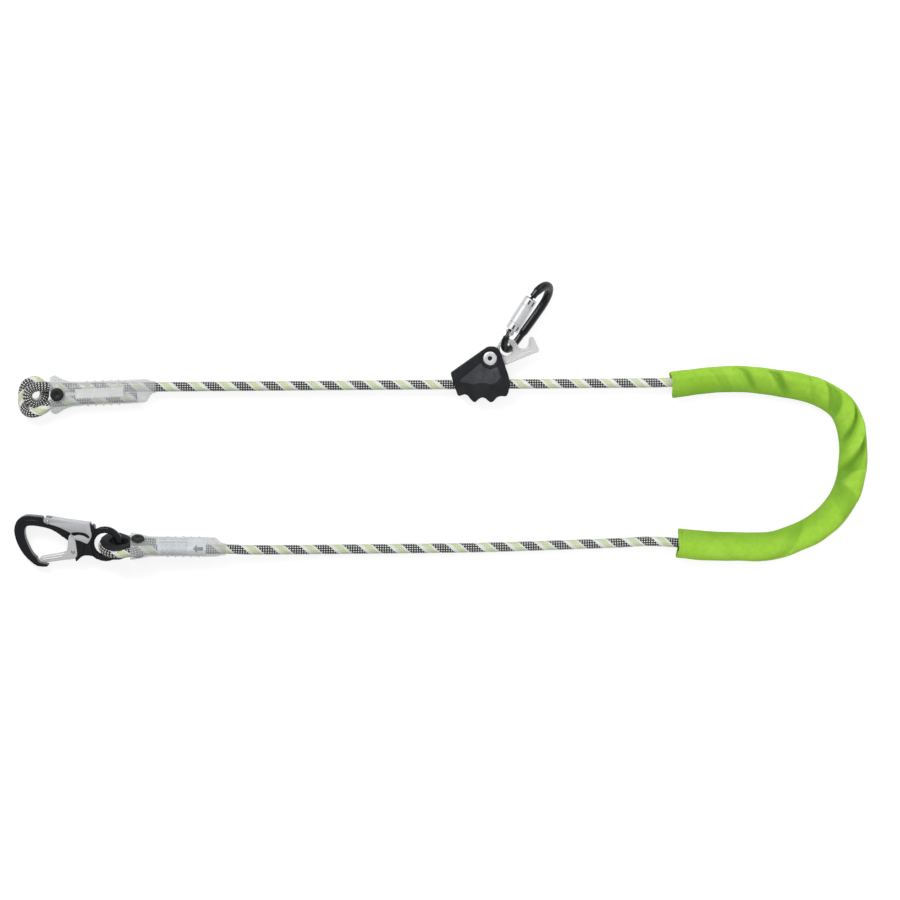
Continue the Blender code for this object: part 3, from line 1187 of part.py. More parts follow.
def build_carabiner_gate(parent):
    """The gate bar, forked over the hinge tongue."""
    _, _, length = gate_axis()
    made = along_gate(turned("carabiner_gate", [(GATE_RADIUS * 0.8, -GATE_RADIUS * 0.9),
                                                (GATE_RADIUS, -GATE_RADIUS * 0.5),
                                                (GATE_RADIUS, length - GATE_RADIUS * 0.1),
                                                (GATE_RADIUS * 0.9, length)],
                             parent, BARE_ALLOY, 18))
    root, _, _ = gate_axis()
    reach = GATE_RADIUS * TONGUE_HEIGHT_SHARE + FIT_GAP * 3
    slot = [(root.x - reach * 3, root.y - reach * 2), (root.x + reach, root.y - reach * 2),
            (root.x + reach, root.y + reach * 2), (root.x - reach * 3, root.y + reach * 2)]
    inner = TONGUE_HALF + FIT_GAP
    cut(made, plate("cut_gate_slot", [slot], -inner, inner, parent, BARE_ALLOY))
    cut(made, rod("cut_gate_pivot", GATE_PIN_RADIUS + FIT_GAP, -GATE_RADIUS * 2, GATE_RADIUS * 2,
                  root, parent, STEEL, 14))
    return made


def build_locking_sleeve(parent):
    """The guide on the gate, its spring, and the silver sleeve that turns over both."""
    inner = GATE_RADIUS + RUNNING_GAP
    guide_start = SLEEVE_NUT_START + GUIDE_INSET
    guide_end = SLEEVE_NUT_START + SLEEVE_NUT_LENGTH - GUIDE_INSET * 2 - SLEEVE_TRAVEL
    outer = inner + GUIDE_WALL
    along_gate(plate("sleeve_guide", [circle(outer, 20), circle(inner, 18)], guide_start, guide_end,
                     parent, STEEL))
    rise = SPRING_PITCH * SLEEVE_SPRING_STRETCH
    count = SLEEVE_SPRING_TURNS * SLEEVE_COIL_POINTS
    flat_share = math.cos(math.pi / SLEEVE_COIL_POINTS)
    radius = (outer + FIT_GAP + SPRING_WIRE / 2) / flat_share
    bore = radius + SPRING_WIRE / 2 + RUNNING_GAP
    step_angle = math.tau / SLEEVE_COIL_POINTS
    wound = [(radius * math.cos(step_angle * k), radius * math.sin(step_angle * k),
              guide_start + GUIDE_INSET + rise * k / SLEEVE_COIL_POINTS) for k in range(count + 1)]
    print(f"sleeve_spring: least gap between turns {(rise - SPRING_WIRE) * 1000:.2f} mm")
    along_gate(tube("sleeve_spring", wound, SPRING_WIRE / 2, parent, STEEL, COIL_SIDES))
    skin = bore + SLEEVE_NUT_WALL
    end = SLEEVE_NUT_START + SLEEVE_NUT_LENGTH
    step = SLEEVE_NUT_WALL / 2
    ring = SLEEVE_NUT_LENGTH * SLEEVE_RING_SHARE
    groove = skin - step
    outside = [(groove, SLEEVE_NUT_START), (skin, SLEEVE_NUT_START + step),
               (skin, SLEEVE_NUT_START + ring), (groove, SLEEVE_NUT_START + ring + step),
               (groove, end - ring - step), (skin, end - ring), (skin, end - step), (groove, end)]
    profile = outside + [(bore, end), (bore, SLEEVE_NUT_START)]
    rings = [profile_ring(radius, height, 22) for radius, height in profile]
    made = along_gate(loft("locking_sleeve", rings, parent, BARE_ALLOY, closed_ring=True))
    root, line, _ = gate_axis()
    side = Vector((-line.y, line.x))
    low = root + line * (end - KEY_SLOT_DEPTH)
    high = root + line * (end + CUT_OVERRUN)
    near, far = side * KEY_HEAD_RADIUS * 0.5, side * skin * 1.5
    window = [low + near, high + near, high + far, low + far]
    half = KEY_HEAD_RADIUS + KEY_GAP * 1.5
    cut(made, plate("cut_key_slot", [window], -half, half, parent, BARE_ALLOY))
    return made


def build_carabiner():
    """The triple-action carabiner that hangs in the cam's hole, leaning on its spine."""
    level = Vector((-CARABINER_AXIS.y, CARABINER_AXIS.x, 0.0))
    up = Vector((0.0, 0.0, 1.0))
    lean = level * math.cos(CARABINER_LEAN) + up * math.sin(CARABINER_LEAN)
    turn = Matrix((CARABINER_AXIS, lean, CARABINER_AXIS.cross(lean))).transposed()
    carrier = empty("frame_carabiner", CARABINER_AT, turn)
    build_carabiner_frame(carrier)
    build_carabiner_gate(carrier)
    build_locking_sleeve(carrier)
    root, _, _ = gate_axis()
    headed_pin("carabiner_gate_pin", GATE_PIN_RADIUS, GATE_RADIUS + FIT_GAP,
               GATE_PIN_RADIUS * GATE_PIN_HEAD_SHARE, FIT_GAP, root, carrier, STEEL)
    return carrier


upper_end = build_end("upper", UPPER_EYE_AT, Euler((0.0, 0.0, UPPER_YAW)), UPPER_COVER_LENGTH, 1,
                      UPPER_TAIL_END)
lower_end = build_end("lower", LOWER_EYE_AT, Euler((LOWER_ROLL, LOWER_PITCH, LOWER_YAW)),
                      LOWER_COVER_LENGTH, -1, LOWER_TAIL_END)
build_thimble(lower_end)
build_label(lower_end)
build_rope(upper_end, lower_end)
build_sleeve()
hook = build_hook()
adjuster = build_adjuster()
carabiner = build_carabiner()
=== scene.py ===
"""Looks of the tree climbing lanyard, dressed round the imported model.

A braided rope with two sewn eyes under clear covers, a lime wear sleeve, a snap hook, a cam
adjuster and a locking carabiner. Metres, +Z up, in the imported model's own frame.
"""

import logging
import math
from dataclasses import dataclass
from enum import Enum
from typing import Callable, Sequence, Union

import bmesh
import bpy
from mathutils import Euler, Matrix, Vector


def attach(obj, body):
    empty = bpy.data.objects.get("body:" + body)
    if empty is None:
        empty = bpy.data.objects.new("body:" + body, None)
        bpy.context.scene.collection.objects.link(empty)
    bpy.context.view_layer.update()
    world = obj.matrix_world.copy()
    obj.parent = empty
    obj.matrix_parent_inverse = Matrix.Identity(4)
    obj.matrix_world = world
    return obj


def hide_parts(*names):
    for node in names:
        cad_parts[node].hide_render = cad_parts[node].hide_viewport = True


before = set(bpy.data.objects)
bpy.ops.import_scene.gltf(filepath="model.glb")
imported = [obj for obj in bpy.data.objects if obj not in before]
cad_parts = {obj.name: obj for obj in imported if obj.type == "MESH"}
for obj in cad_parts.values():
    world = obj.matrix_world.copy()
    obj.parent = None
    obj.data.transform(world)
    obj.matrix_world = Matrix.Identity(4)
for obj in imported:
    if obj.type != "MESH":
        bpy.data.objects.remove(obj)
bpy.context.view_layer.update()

log = logging.getLogger("lanyard")
logging.basicConfig(level=logging.INFO, format="%(message)s")

Socket = bpy.types.NodeSocket
Value = Union[Socket, float, tuple]
Point = Sequence[float]

FIT_GAP = 0.0003
ROPE_DIAMETER = 0.012
ROPE_RADIUS = ROPE_DIAMETER / 2
THIMBLE_BORE = 0.0078
THIMBLE_WALL = 0.0016
WELD = 0.00002
FLAT_ANGLE = math.radians(0.4)
# Vertex attribute with each place's crease depth, which the woven tube's colour uses as painted shade
CREASE_SHADE_DEPTH = "crease_shade_depth"

# Degrees beyond which an edge stays sharp
SMOOTH = 60.0
MOULDED = 40.0
TURNED = 30.0

# Where a soft mask starts and where it is full
PATCH_EDGE = (0.52, 0.68)
SCRATCH_EDGE = (0.60, 0.72)
DRIFT_EDGE = (0.35, 0.75)
CROSSING_EDGE = (0.34, 0.46)
GAP_EDGE = (0.35, 1.0)

# Weights inside the shared effects
SCRATCH_RUN = (1.0, 7.0, 3.0)
PATCH_SHARE = 0.55
DUST_COARSER = 0.35
PEBBLE_SHARE = 0.6
DUST_SHARE = 0.7
CROWN_SHARE = 0.6
TINT_AT_CROSSING = 0.45


class Net:
    """A node tree with short methods that add a node, fill its sockets and give its output."""

    def __init__(self, tree: bpy.types.NodeTree) -> None:
        """Hold the tree that the nodes go into."""
        self.tree = tree

    def add(self, kind: str, **settings: object) -> bpy.types.Node:
        """Add one node.

        Args:
            kind: The node's type name without the ShaderNode prefix.
            settings: Properties to set on it.

        Returns:
            The new node.
        """
        node = self.tree.nodes.new("ShaderNode" + kind)
        for name, value in settings.items():
            setattr(node, name, value)
        return node

    def put(self, socket: Socket, value: Value) -> None:
        """Link a socket into an input, or set the input's own value.

        Args:
            socket: The input.
            value: A socket to link, or a number, vector or colour.
        """
        if isinstance(value, bpy.types.NodeSocket):
            self.tree.links.new(value, socket)
        elif socket.type == "RGBA" and len(value) == 3:
            socket.default_value = (*value, 1.0)
        else:
            socket.default_value = value

    def math(self, operation: str, first: Value, second: Value = 0.5, third: Value = 0.0) -> Socket:
        """One Math node.

        Args:
            operation: The node's operation.
            first: First value.
            second: Second value.
            third: Third value, for operations that take one.

        Returns:
            Its result.
        """
        node = self.add("Math", operation=operation)
        for socket, value in zip(node.inputs, (first, second, third)):
            self.put(socket, value)
        return node.outputs[0]

    def times(self, first: Value, second: Value) -> Socket:
        """The product of two numbers."""
        return self.math("MULTIPLY", first, second)

    def plus(self, first: Value, second: Value) -> Socket:
        """The sum of two numbers."""
        return self.math("ADD", first, second)

    def minus(self, first: Value, second: Value) -> Socket:
        """The difference of two numbers."""
        return self.math("SUBTRACT", first, second)

    def mix(self, share: Value, first: Value, second: Value) -> Socket:
        """Blend two colours.

        Args:
            share: How much of the second colour shows.
            first: First colour.
            second: Second colour.

        Returns:
            The blend.
        """
        node = self.add("Mix", data_type="RGBA")
        self.put(node.inputs[0], share)
        self.put(node.inputs[6], first)
        self.put(node.inputs[7], second)
        return node.outputs[2]

    def lerp(self, share: Value, first: Value, second: Value) -> Socket:
        """Blend two numbers.

        Args:
            share: How much of the second number counts.
            first: First number.
            second: Second number.

        Returns:
            The blend.
        """
        node = self.add("Mix", data_type="FLOAT")
        self.put(node.inputs[0], share)
        self.put(node.inputs[2], first)
        self.put(node.inputs[3], second)
        return node.outputs[0]

    def between(self, value: Value, low: float, high: float) -> Socket:
        """Map a range to 0 and 1, clamped and eased.

        Args:
            value: The number.
            low: What gives 0.
            high: What gives 1.

        Returns:
            The eased share.
        """
        node = self.add("MapRange", interpolation_type="SMOOTHSTEP")
        self.put(node.inputs[0], value)
        node.inputs[1].default_value = low
        node.inputs[2].default_value = high
        return node.outputs[0]

    def place(self) -> Socket:
        """The object's own coordinates, in metres."""
        return self.add("TexCoord").outputs["Object"]

    def chart(self) -> Socket:
        """The piece's own chart, stored in metres along and turns or metres across."""
        return self.add("UVMap").outputs[0]

    def stretched(self, vector: Value, scale: Point) -> Socket:
        """Scale a coordinate.

        Args:
            vector: The coordinate.
            scale: Its factor on each axis.

        Returns:
            The scaled coordinate.
        """
        node = self.add("Mapping")
        self.put(node.inputs[0], vector)
        node.inputs["Scale"].default_value = scale
        return node.outputs[0]

    def split(self, vector: Value) -> tuple[Socket, Socket, Socket]:
        """Take a vector apart.

        Args:
            vector: The vector.

        Returns:
            Its three numbers.
        """
        node = self.add("SeparateXYZ")
        self.put(node.inputs[0], vector)
        return node.outputs[0], node.outputs[1], node.outputs[2]

    def combine(self, first: Value, second: Value) -> Socket:
        """Put two numbers together.

        Args:
            first: First number.
            second: Second number.

        Returns:
            The vector, its third number 0.
        """
        node = self.add("CombineXYZ")
        for socket, value in zip(node.inputs, (first, second)):
            self.put(socket, value)
        return node.outputs[0]

    def noise(self, vector: Value, scale: Value, detail: float = 3.0, rough: float = 0.55) -> Socket:
        """Fractal noise.

        Args:
            vector: Where it is read.
            scale: Its scale.
            detail: Its octaves.
            rough: How strong the fine octaves are.

        Returns:
            One number.
        """
        node = self.add("TexNoise")
        self.put(node.inputs["Vector"], vector)
        self.put(node.inputs["Scale"], scale)
        node.inputs["Detail"].default_value = detail
        node.inputs["Roughness"].default_value = rough
        return node.outputs[0]

    def cells(self, vector: Value, scale: Value) -> Socket:
        """Distance to the nearest cell's centre.

        Args:
            vector: Where it is read.
            scale: Cells to the metre.

        Returns:
            The distance.
        """
        node = self.add("TexVoronoi")
        self.put(node.inputs["Vector"], vector)
        self.put(node.inputs["Scale"], scale)
        return node.outputs["Distance"]

    def bump(self, height: Value, distance: float) -> Socket:
        """A normal bent by a height.

        Args:
            height: Height as a share of the distance.
            distance: What a height of 1 stands for, in metres.

        Returns:
            The normal.
        """
        node = self.add("Bump")
        self.put(node.inputs["Height"], height)
        node.inputs["Distance"].default_value = distance
        node.inputs["Strength"].default_value = 1.0
        return node.outputs[0]

    def group(self, tree: bpy.types.NodeTree, **values: Value) -> bpy.types.Node:
        """Place a shared effect.

        Args:
            tree: The effect's node group.
            values: Its inputs by name, with underscores for spaces.

        Returns:
            The group's node.
        """
        node = self.add("Group")
        node.node_tree = tree
        for name, value in values.items():
            self.put(node.inputs[name.replace("_", " ")], value)
        return node


def shared_effect(name: str, inputs: dict[str, object], outputs: Sequence[str],
                  build: Callable[[Net, dict[str, Socket]], dict[str, Value]]) -> bpy.types.NodeTree:
    """Make a node group once.

    Args:
        name: The group's name.
        inputs: Input names with their defaults; a vector's is a tuple.
        outputs: Names of the numbers that it gives.
        build: Fills the group and gives each output's value.

    Returns:
        The node group.
    """
    tree = bpy.data.node_groups.new(name, "ShaderNodeTree")
    for key, default in inputs.items():
        kind = "NodeSocketVector" if isinstance(default, tuple) else "NodeSocketFloat"
        socket = tree.interface.new_socket(key, in_out="INPUT", socket_type=kind)
        socket.default_value = default
    for key in outputs:
        tree.interface.new_socket(key, in_out="OUTPUT", socket_type="NodeSocketFloat")
    net = Net(tree)
    entry = tree.nodes.new("NodeGroupInput")
    leave = tree.nodes.new("NodeGroupOutput")
    results = build(net, {key: entry.outputs[key] for key in inputs})
    for key, value in results.items():
        net.put(leave.inputs[key], value)
    return tree


def _fill_wear(net: Net, given: dict[str, Socket]) -> dict[str, Value]:
    """Scuffs: soft patches broken up by fine scratches that run one way.

    Args:
        net: The group's net.
        given: The group's inputs.

    Returns:
        The group's outputs.
    """
    patches = net.between(net.noise(given["Place"], given["Patch Scale"], detail=4.0, rough=0.6), *PATCH_EDGE)
    streaks = net.noise(net.stretched(given["Place"], SCRATCH_RUN), given["Scratch Scale"], detail=2.0)
    lines = net.between(streaks, *SCRATCH_EDGE)
    marks = net.plus(net.times(patches, PATCH_SHARE), lines)
    mask = net.times(marks, given["Amount"])
    return {"Mask": net.math("MINIMUM", mask, 1.0)}


def _fill_grain(net: Net, given: dict[str, Socket]) -> dict[str, Value]:
    """A fine pebbled or blasted surface.

    Args:
        net: The group's net.
        given: The group's inputs.

    Returns:
        The group's outputs.
    """
    pebbles = net.cells(given["Place"], given["Scale"])
    dust = net.noise(given["Place"], net.times(given["Scale"], DUST_COARSER), detail=4.0)
    return {"Height": net.plus(net.times(pebbles, PEBBLE_SHARE), net.times(dust, DUST_SHARE))}


def _fill_dust(net: Net, given: dict[str, Socket]) -> dict[str, Value]:
    """Slow colour drift and settled dust, as one mask."""
    slow = net.noise(given["Place"], given["Scale"], rough=0.5)
    return {"Mask": net.times(net.between(slow, *DRIFT_EDGE), given["Amount"])}


def _fill_braid(net: Net, given: dict[str, Socket]) -> dict[str, Value]:
    """A braided sheath: two families of yarns that pass over and under each other.

    Args:
        net: The group's net.
        given: The group's inputs.

    Returns:
        The group's outputs.
    """
    along, around, _ = net.split(given["Chart"])
    turns = net.math("DIVIDE", along, given["Pitch"])
    first = net.times(net.plus(turns, around), given["Yarns"])
    second = net.times(net.minus(turns, around), given["Yarns"])
    first_index, second_index = (net.math("FLOOR", value, 0.0) for value in (first, second))
    parity = net.math("PINGPONG", net.plus(first_index, second_index), 1.0)
    over = net.math("GREATER_THAN", parity, 0.5)
    across_first = net.math("SINE", net.times(net.math("FRACT", first, 0.0), math.pi))
    across_second = net.math("SINE", net.times(net.math("FRACT", second, 0.0), math.pi))
    crown = net.times(across_first, across_second)
    own = net.lerp(over, across_second, across_first)
    height = net.plus(net.times(crown, CROWN_SHARE), net.times(own, 1.0 - CROWN_SHARE))
    turn_share = net.math("FRACT", net.math("DIVIDE", net.plus(first_index, 0.5), given["Yarns"]))
    dark = net.math("COMPARE", turn_share, given["Dark Place"], given["Dark Half"])
    tint = net.math("COMPARE", turn_share, given["Tint Place"], given["Tint Half"])
    crossing = net.times(net.minus(1.0, over), net.between(crown, *CROSSING_EDGE))
    dark_yarn = net.times(dark, net.minus(1.0, crossing))
    tint_yarn = net.times(tint, net.lerp(crossing, 1.0, TINT_AT_CROSSING))
    return {"Height": height, "Dark": dark_yarn, "Tint": tint_yarn, "Gap": net.minus(1.0, own)}


def _fill_weave(net: Net, given: dict[str, Socket]) -> dict[str, Value]:
    """A plain weave of two thread families.

    Args:
        net: The group's net.
        given: The group's inputs.

    Returns:
        The group's outputs.
    """
    along, across, _ = net.split(given["Chart"])
    warp = net.math("DIVIDE", along, given["Thread"])
    weft = net.math("DIVIDE", across, given["Thread"])
    checker = net.math("PINGPONG", net.plus(net.math("FLOOR", warp, 0.0),
                                            net.math("FLOOR", weft, 0.0)), 1.0)
    warp_round = net.math("SINE", net.times(net.math("FRACT", warp, 0.0), math.pi))
    weft_round = net.math("SINE", net.times(net.math("FRACT", weft, 0.0), math.pi))
    height = net.lerp(net.math("GREATER_THAN", checker, 0.5), warp_round, weft_round)
    return {"Height": height, "Gap": net.minus(1.0, net.times(warp_round, weft_round))}


NOWHERE = (0.0, 0.0, 0.0)
WEAR = shared_effect("surface_wear", {"Place": NOWHERE, "Patch Scale": 60.0, "Scratch Scale": 900.0,
                                      "Amount": 0.3}, ("Mask",), _fill_wear)
GRAIN = shared_effect("fine_grain", {"Place": NOWHERE, "Scale": 2500.0}, ("Height",), _fill_grain)
DUST = shared_effect("settled_dust", {"Place": NOWHERE, "Scale": 40.0, "Amount": 0.3}, ("Mask",), _fill_dust)
BRAID = shared_effect("braided_yarns", {"Chart": NOWHERE, "Pitch": 0.0366, "Yarns": 12.0,
                                        "Dark Place": 0.25, "Dark Half": 0.215, "Tint Place": 0.7083,
                                        "Tint Half": 0.10},
                      ("Height", "Dark", "Tint", "Gap"), _fill_braid)
WEAVE = shared_effect("plain_weave", {"Chart": NOWHERE, "Thread": 0.0006},
                      ("Height", "Gap"), _fill_weave)


def darker(colour: Point, share: float) -> tuple[float, ...]:
    """A colour with each channel taken times a share."""
    return tuple(channel * share for channel in colour)


@dataclass(frozen=True)
class Finish:
    """What every finish has: its material's name, a slot name and its colour."""

    name: str
    slot: str
    colour: tuple[float, float, float]
    roughness: float = 0.5
    metallic: float = 0.0

    def start(self) -> tuple[Net, bpy.types.Node]:
        """Make an empty material with a Principled shader.

        Returns:
            The material's net and its shader node.
        """
        material = bpy.data.materials.new(self.name)
        material.use_nodes = True
        material.node_tree.nodes.clear()
        net = Net(material.node_tree)
        shader = net.add("BsdfPrincipled")
        shader.inputs["Base Color"].default_value = (*self.colour, 1.0)
        shader.inputs["Roughness"].default_value = self.roughness
        shader.inputs["Metallic"].default_value = self.metallic
        output = net.add("OutputMaterial")
        net.tree.links.new(shader.outputs[0], output.inputs[0])
        return net, shader

    def dress(self, net: Net, shader: bpy.types.Node) -> None:
        """Add what this finish shows; a plain one adds nothing."""

    def material(self) -> bpy.types.Material:
        """Make the material on first use.

        Returns:
            The material.
        """
        made = bpy.data.materials.get(self.name)
        if made is None:
            net, shader = self.start()
            self.dress(net, shader)
            made = bpy.data.materials[self.name]
        return made


@dataclass(frozen=True)
class BraidedSheath(Finish):
    """A braided sheath: white yarns with a dark band and a pale green band."""

    dark: tuple[float, float, float] = (0.010, 0.012, 0.018)
    tint: tuple[float, float, float] = (0.62, 0.73, 0.39)
    pitch: float = 0.0366
    yarns: float = 12.0
    relief: float = 0.0006
    soil_scale: float = 55.0
    soil_share: float = 0.35
    soiled: float = 0.90
    fibre_scale: Point = (2600.0, 260.0, 1.0)
    fibre_share: float = 0.22
    gap_shade: float = 0.34
    rough_range: tuple[float, float] = (0.62, 0.85)
    fuzz: float = 0.25

    def dress(self, net: Net, shader: bpy.types.Node) -> None:
        """Colour the yarns, darken the gaps between them and give them fibres.

        Args:
            net: The material's net.
            shader: Its Principled shader.
        """
        chart = net.chart()
        braid = net.group(BRAID, Chart=chart, Pitch=self.pitch, Yarns=self.yarns)
        dust = net.group(DUST, Place=net.place(), Scale=self.soil_scale, Amount=self.soil_share)
        fibres = net.noise(net.stretched(chart, self.fibre_scale), scale=1.0, detail=2.0)
        ground = net.mix(dust.outputs["Mask"], self.colour, darker(self.colour, self.soiled))
        tinted = net.mix(braid.outputs["Tint"], ground, self.tint)
        marked = net.mix(braid.outputs["Dark"], tinted, self.dark)
        gap = net.times(net.between(braid.outputs["Gap"], *GAP_EDGE), self.gap_shade)
        shade = net.mix(braid.outputs["Dark"], darker(self.colour, self.gap_shade), self.dark)
        net.put(shader.inputs["Base Color"], net.mix(gap, marked, shade))
        net.put(shader.inputs["Roughness"], net.lerp(fibres, *self.rough_range))
        height = net.plus(braid.outputs["Height"], net.times(fibres, self.fibre_share))
        net.put(shader.inputs["Normal"], net.bump(height, self.relief))
        shader.inputs["Sheen Weight"].default_value = self.fuzz


@dataclass(frozen=True)
class WovenTube(Finish):
    """A bright plain-woven tube with a soft sheen."""

    light: tuple[float, float, float] = (0.47, 0.82, 0.065)
    deep: tuple[float, float, float] = (0.13, 0.33, 0.005)
    sheen: tuple[float, float, float] = (0.62, 0.90, 0.14)
    thread: float = 0.0009
    girth: float = 0.094
    relief: float = 0.00022
    drift_scale: float = 24.0
    drift_share: float = 0.7
    mark_scale: float = 160.0
    mark_share: float = 0.18
    # Painted shade: where the inner side starts to darken, how much, and the most that it and the creases
    # darken
    inner_edge: tuple[float, float] = (0.15, 1.0)
    inner_shade: float = 0.52
    deepest: float = 0.85
    gap_shade: float = 0.45
    rough_range: tuple[float, float] = (0.68, 0.54)
    fuzz: float = 0.3
    fuzz_roughness: float = 0.4

    def dress(self, net: Net, shader: bpy.types.Node) -> None:
        """Weave relief, slow colour drift, darker gaps, and painted shade on the inner side and in the
        creases.

        Args:
            net: The material's net.
            shader: Its Principled shader.
        """
        weave = net.group(WEAVE, Chart=net.chart(), Thread=self.thread)
        drift = net.group(DUST, Place=net.place(), Scale=self.drift_scale, Amount=self.drift_share)
        marks = net.group(DUST, Place=net.place(), Scale=self.mark_scale, Amount=self.mark_share)
        base = net.mix(drift.outputs["Mask"], self.colour, self.light)
        aged = net.mix(marks.outputs["Mask"], base, self.deep)
        # Painted shade: the tube's inner side and the bottoms of its creases are darkened towards the deep
        # colour, standing in for the shade that falls there.
        around = net.math("DIVIDE", net.split(net.chart())[1], self.girth)
        inner = net.between(net.math("COSINE", net.times(around, math.tau)), *self.inner_edge)
        crease_shade_mask = net.add("Attribute", attribute_name=CREASE_SHADE_DEPTH).outputs["Fac"]
        sunk = net.plus(net.times(inner, self.inner_shade), crease_shade_mask)
        painted_shade_share = net.math("MINIMUM", sunk, self.deepest)
        painted_shade_colour = net.mix(painted_shade_share, aged, self.deep)
        gaps = net.times(net.between(weave.outputs["Gap"], *GAP_EDGE), self.gap_shade)
        net.put(shader.inputs["Base Color"], net.mix(gaps, painted_shade_colour, self.deep))
        net.put(shader.inputs["Roughness"], net.lerp(drift.outputs["Mask"], *self.rough_range))
        net.put(shader.inputs["Normal"], net.bump(weave.outputs["Height"], self.relief))
        shader.inputs["Sheen Weight"].default_value = self.fuzz
        shader.inputs["Sheen Roughness"].default_value = self.fuzz_roughness
        shader.inputs["Sheen Tint"].default_value = (*self.sheen, 1.0)


@dataclass(frozen=True)
class Alloy(Finish):
    """Metal with handling scuffs, a brushed or blasted grain and its own wear colour."""

    worn: tuple[float, float, float] = (0.75, 0.75, 0.74)
    wear: float = 0.25
    grain_scale: float = 2600.0
    grain_depth: float = 0.00003
    brushed: float = 0.0
    gloss: float = 0.5
    patch_scale: float = 70.0
    scratch_scale: float = 700.0
    drift_scale: float = 45.0
    brush_scale: Point = (120.0, 2400.0, 2400.0)
    brush_roughness: float = 0.16
    smoothest: float = 0.78
    roughest: float = 1.30
    dullest: float = 0.95

    def dress(self, net: Net, shader: bpy.types.Node) -> None:
        """Scuffs, roughness drift and grain.

        Args:
            net: The material's net.
            shader: Its Principled shader.
        """
        place = net.place()
        wear = net.group(WEAR, Place=place, Patch_Scale=self.patch_scale, Scratch_Scale=self.scratch_scale,
                         Amount=self.wear)
        grain = net.group(GRAIN, Place=place, Scale=self.grain_scale)
        drift = net.noise(place, self.drift_scale)
        net.put(shader.inputs["Base Color"], net.mix(wear.outputs["Mask"], self.colour, self.worn))
        rough = net.lerp(drift, self.roughness * self.smoothest,
                         min(self.roughness * self.roughest, self.dullest))
        streak = net.noise(net.stretched(place, self.brush_scale), scale=1.0, detail=2.0)
        rubbed = net.times(streak, self.brushed * self.brush_roughness)
        net.put(shader.inputs["Roughness"], net.plus(rough, rubbed))
        height = net.plus(grain.outputs["Height"], net.times(streak, self.brushed))
        net.put(shader.inputs["Normal"], net.bump(height, self.grain_depth))
        shader.inputs["Specular IOR Level"].default_value = self.gloss


@dataclass(frozen=True)
class MouldedPlastic(Finish):
    """Black moulded plastic with a fine spark grain and dusty, rubbed edges."""

    dusty: tuple[float, float, float] = (0.016, 0.017, 0.021)
    grain_scale: float = 1500.0
    grain_depth: float = 0.00006
    dust_scale: float = 75.0
    dust_share: float = 0.6
    patch_scale: float = 50.0
    scratch_scale: float = 520.0
    wear: float = 0.30
    scratch_lift: float = 2.2
    dusty_roughness: float = 0.66
    gloss: float = 0.26

    def dress(self, net: Net, shader: bpy.types.Node) -> None:
        """Grain, dust and light scratches.

        Args:
            net: The material's net.
            shader: Its Principled shader.
        """
        place = net.place()
        dust = net.group(DUST, Place=place, Scale=self.dust_scale, Amount=self.dust_share)
        wear = net.group(WEAR, Place=place, Patch_Scale=self.patch_scale, Scratch_Scale=self.scratch_scale,
                         Amount=self.wear)
        grain = net.group(GRAIN, Place=place, Scale=self.grain_scale)
        base = net.mix(dust.outputs["Mask"], self.colour, self.dusty)
        scratched = net.mix(wear.outputs["Mask"], base, darker(self.dusty, self.scratch_lift))
        net.put(shader.inputs["Base Color"], scratched)
        net.put(shader.inputs["Roughness"],
                net.lerp(dust.outputs["Mask"], self.roughness, self.dusty_roughness))
        net.put(shader.inputs["Normal"], net.bump(grain.outputs["Height"], self.grain_depth))
        shader.inputs["Specular IOR Level"].default_value = self.gloss


@dataclass(frozen=True)
class ClearSkin(Finish):
    """A clear shrunk cover, slightly milky, with drawn wrinkles."""

    cover: float = 0.23
    clearest: float = 0.72
    milkiest: float = 1.5
    milk_scale: float = 70.0
    wrinkle_scale: Point = (60.0, 330.0, 330.0)
    wrinkle_depth: float = 0.00016
    rough_range: tuple[float, float] = (0.14, 0.34)
    shine: float = 0.2
    shine_roughness: float = 0.08

    def dress(self, net: Net, shader: bpy.types.Node) -> None:
        """Milky patches, soft wrinkles and scratches.

        Args:
            net: The material's net.
            shader: Its Principled shader.
        """
        place = net.place()
        milk = net.noise(place, self.milk_scale, detail=4.0, rough=0.6)
        wrinkle = net.noise(net.stretched(place, self.wrinkle_scale), scale=1.0)
        net.put(shader.inputs["Alpha"],
                net.lerp(milk, self.cover * self.clearest, min(self.cover * self.milkiest, 1.0)))
        net.put(shader.inputs["Roughness"], net.lerp(wrinkle, *self.rough_range))
        net.put(shader.inputs["Normal"], net.bump(wrinkle, self.wrinkle_depth))
        shader.inputs["Coat Weight"].default_value = self.shine
        shader.inputs["Coat Roughness"].default_value = self.shine_roughness


@dataclass(frozen=True)
class SewingThread(Finish):
    """Twisted sewing thread."""

    fibre_scale: float = 900.0
    fibre_depth: float = 0.0001
    soil_scale: float = 120.0
    soil_share: float = 0.4
    soiled: float = 0.72
    rough_range: tuple[float, float] = (0.60, 0.82)
    fuzz: float = 0.2

    def dress(self, net: Net, shader: bpy.types.Node) -> None:
        """A fine rope twist and soiled hollows.

        Args:
            net: The material's net.
            shader: Its Principled shader.
        """
        place = net.place()
        fibres = net.noise(place, self.fibre_scale)
        dust = net.group(DUST, Place=place, Scale=self.soil_scale, Amount=self.soil_share)
        net.put(shader.inputs["Base Color"],
                net.mix(dust.outputs["Mask"], self.colour, darker(self.colour, self.soiled)))
        net.put(shader.inputs["Roughness"], net.lerp(fibres, *self.rough_range))
        net.put(shader.inputs["Normal"], net.bump(fibres, self.fibre_depth))
        shader.inputs["Sheen Weight"].default_value = self.fuzz


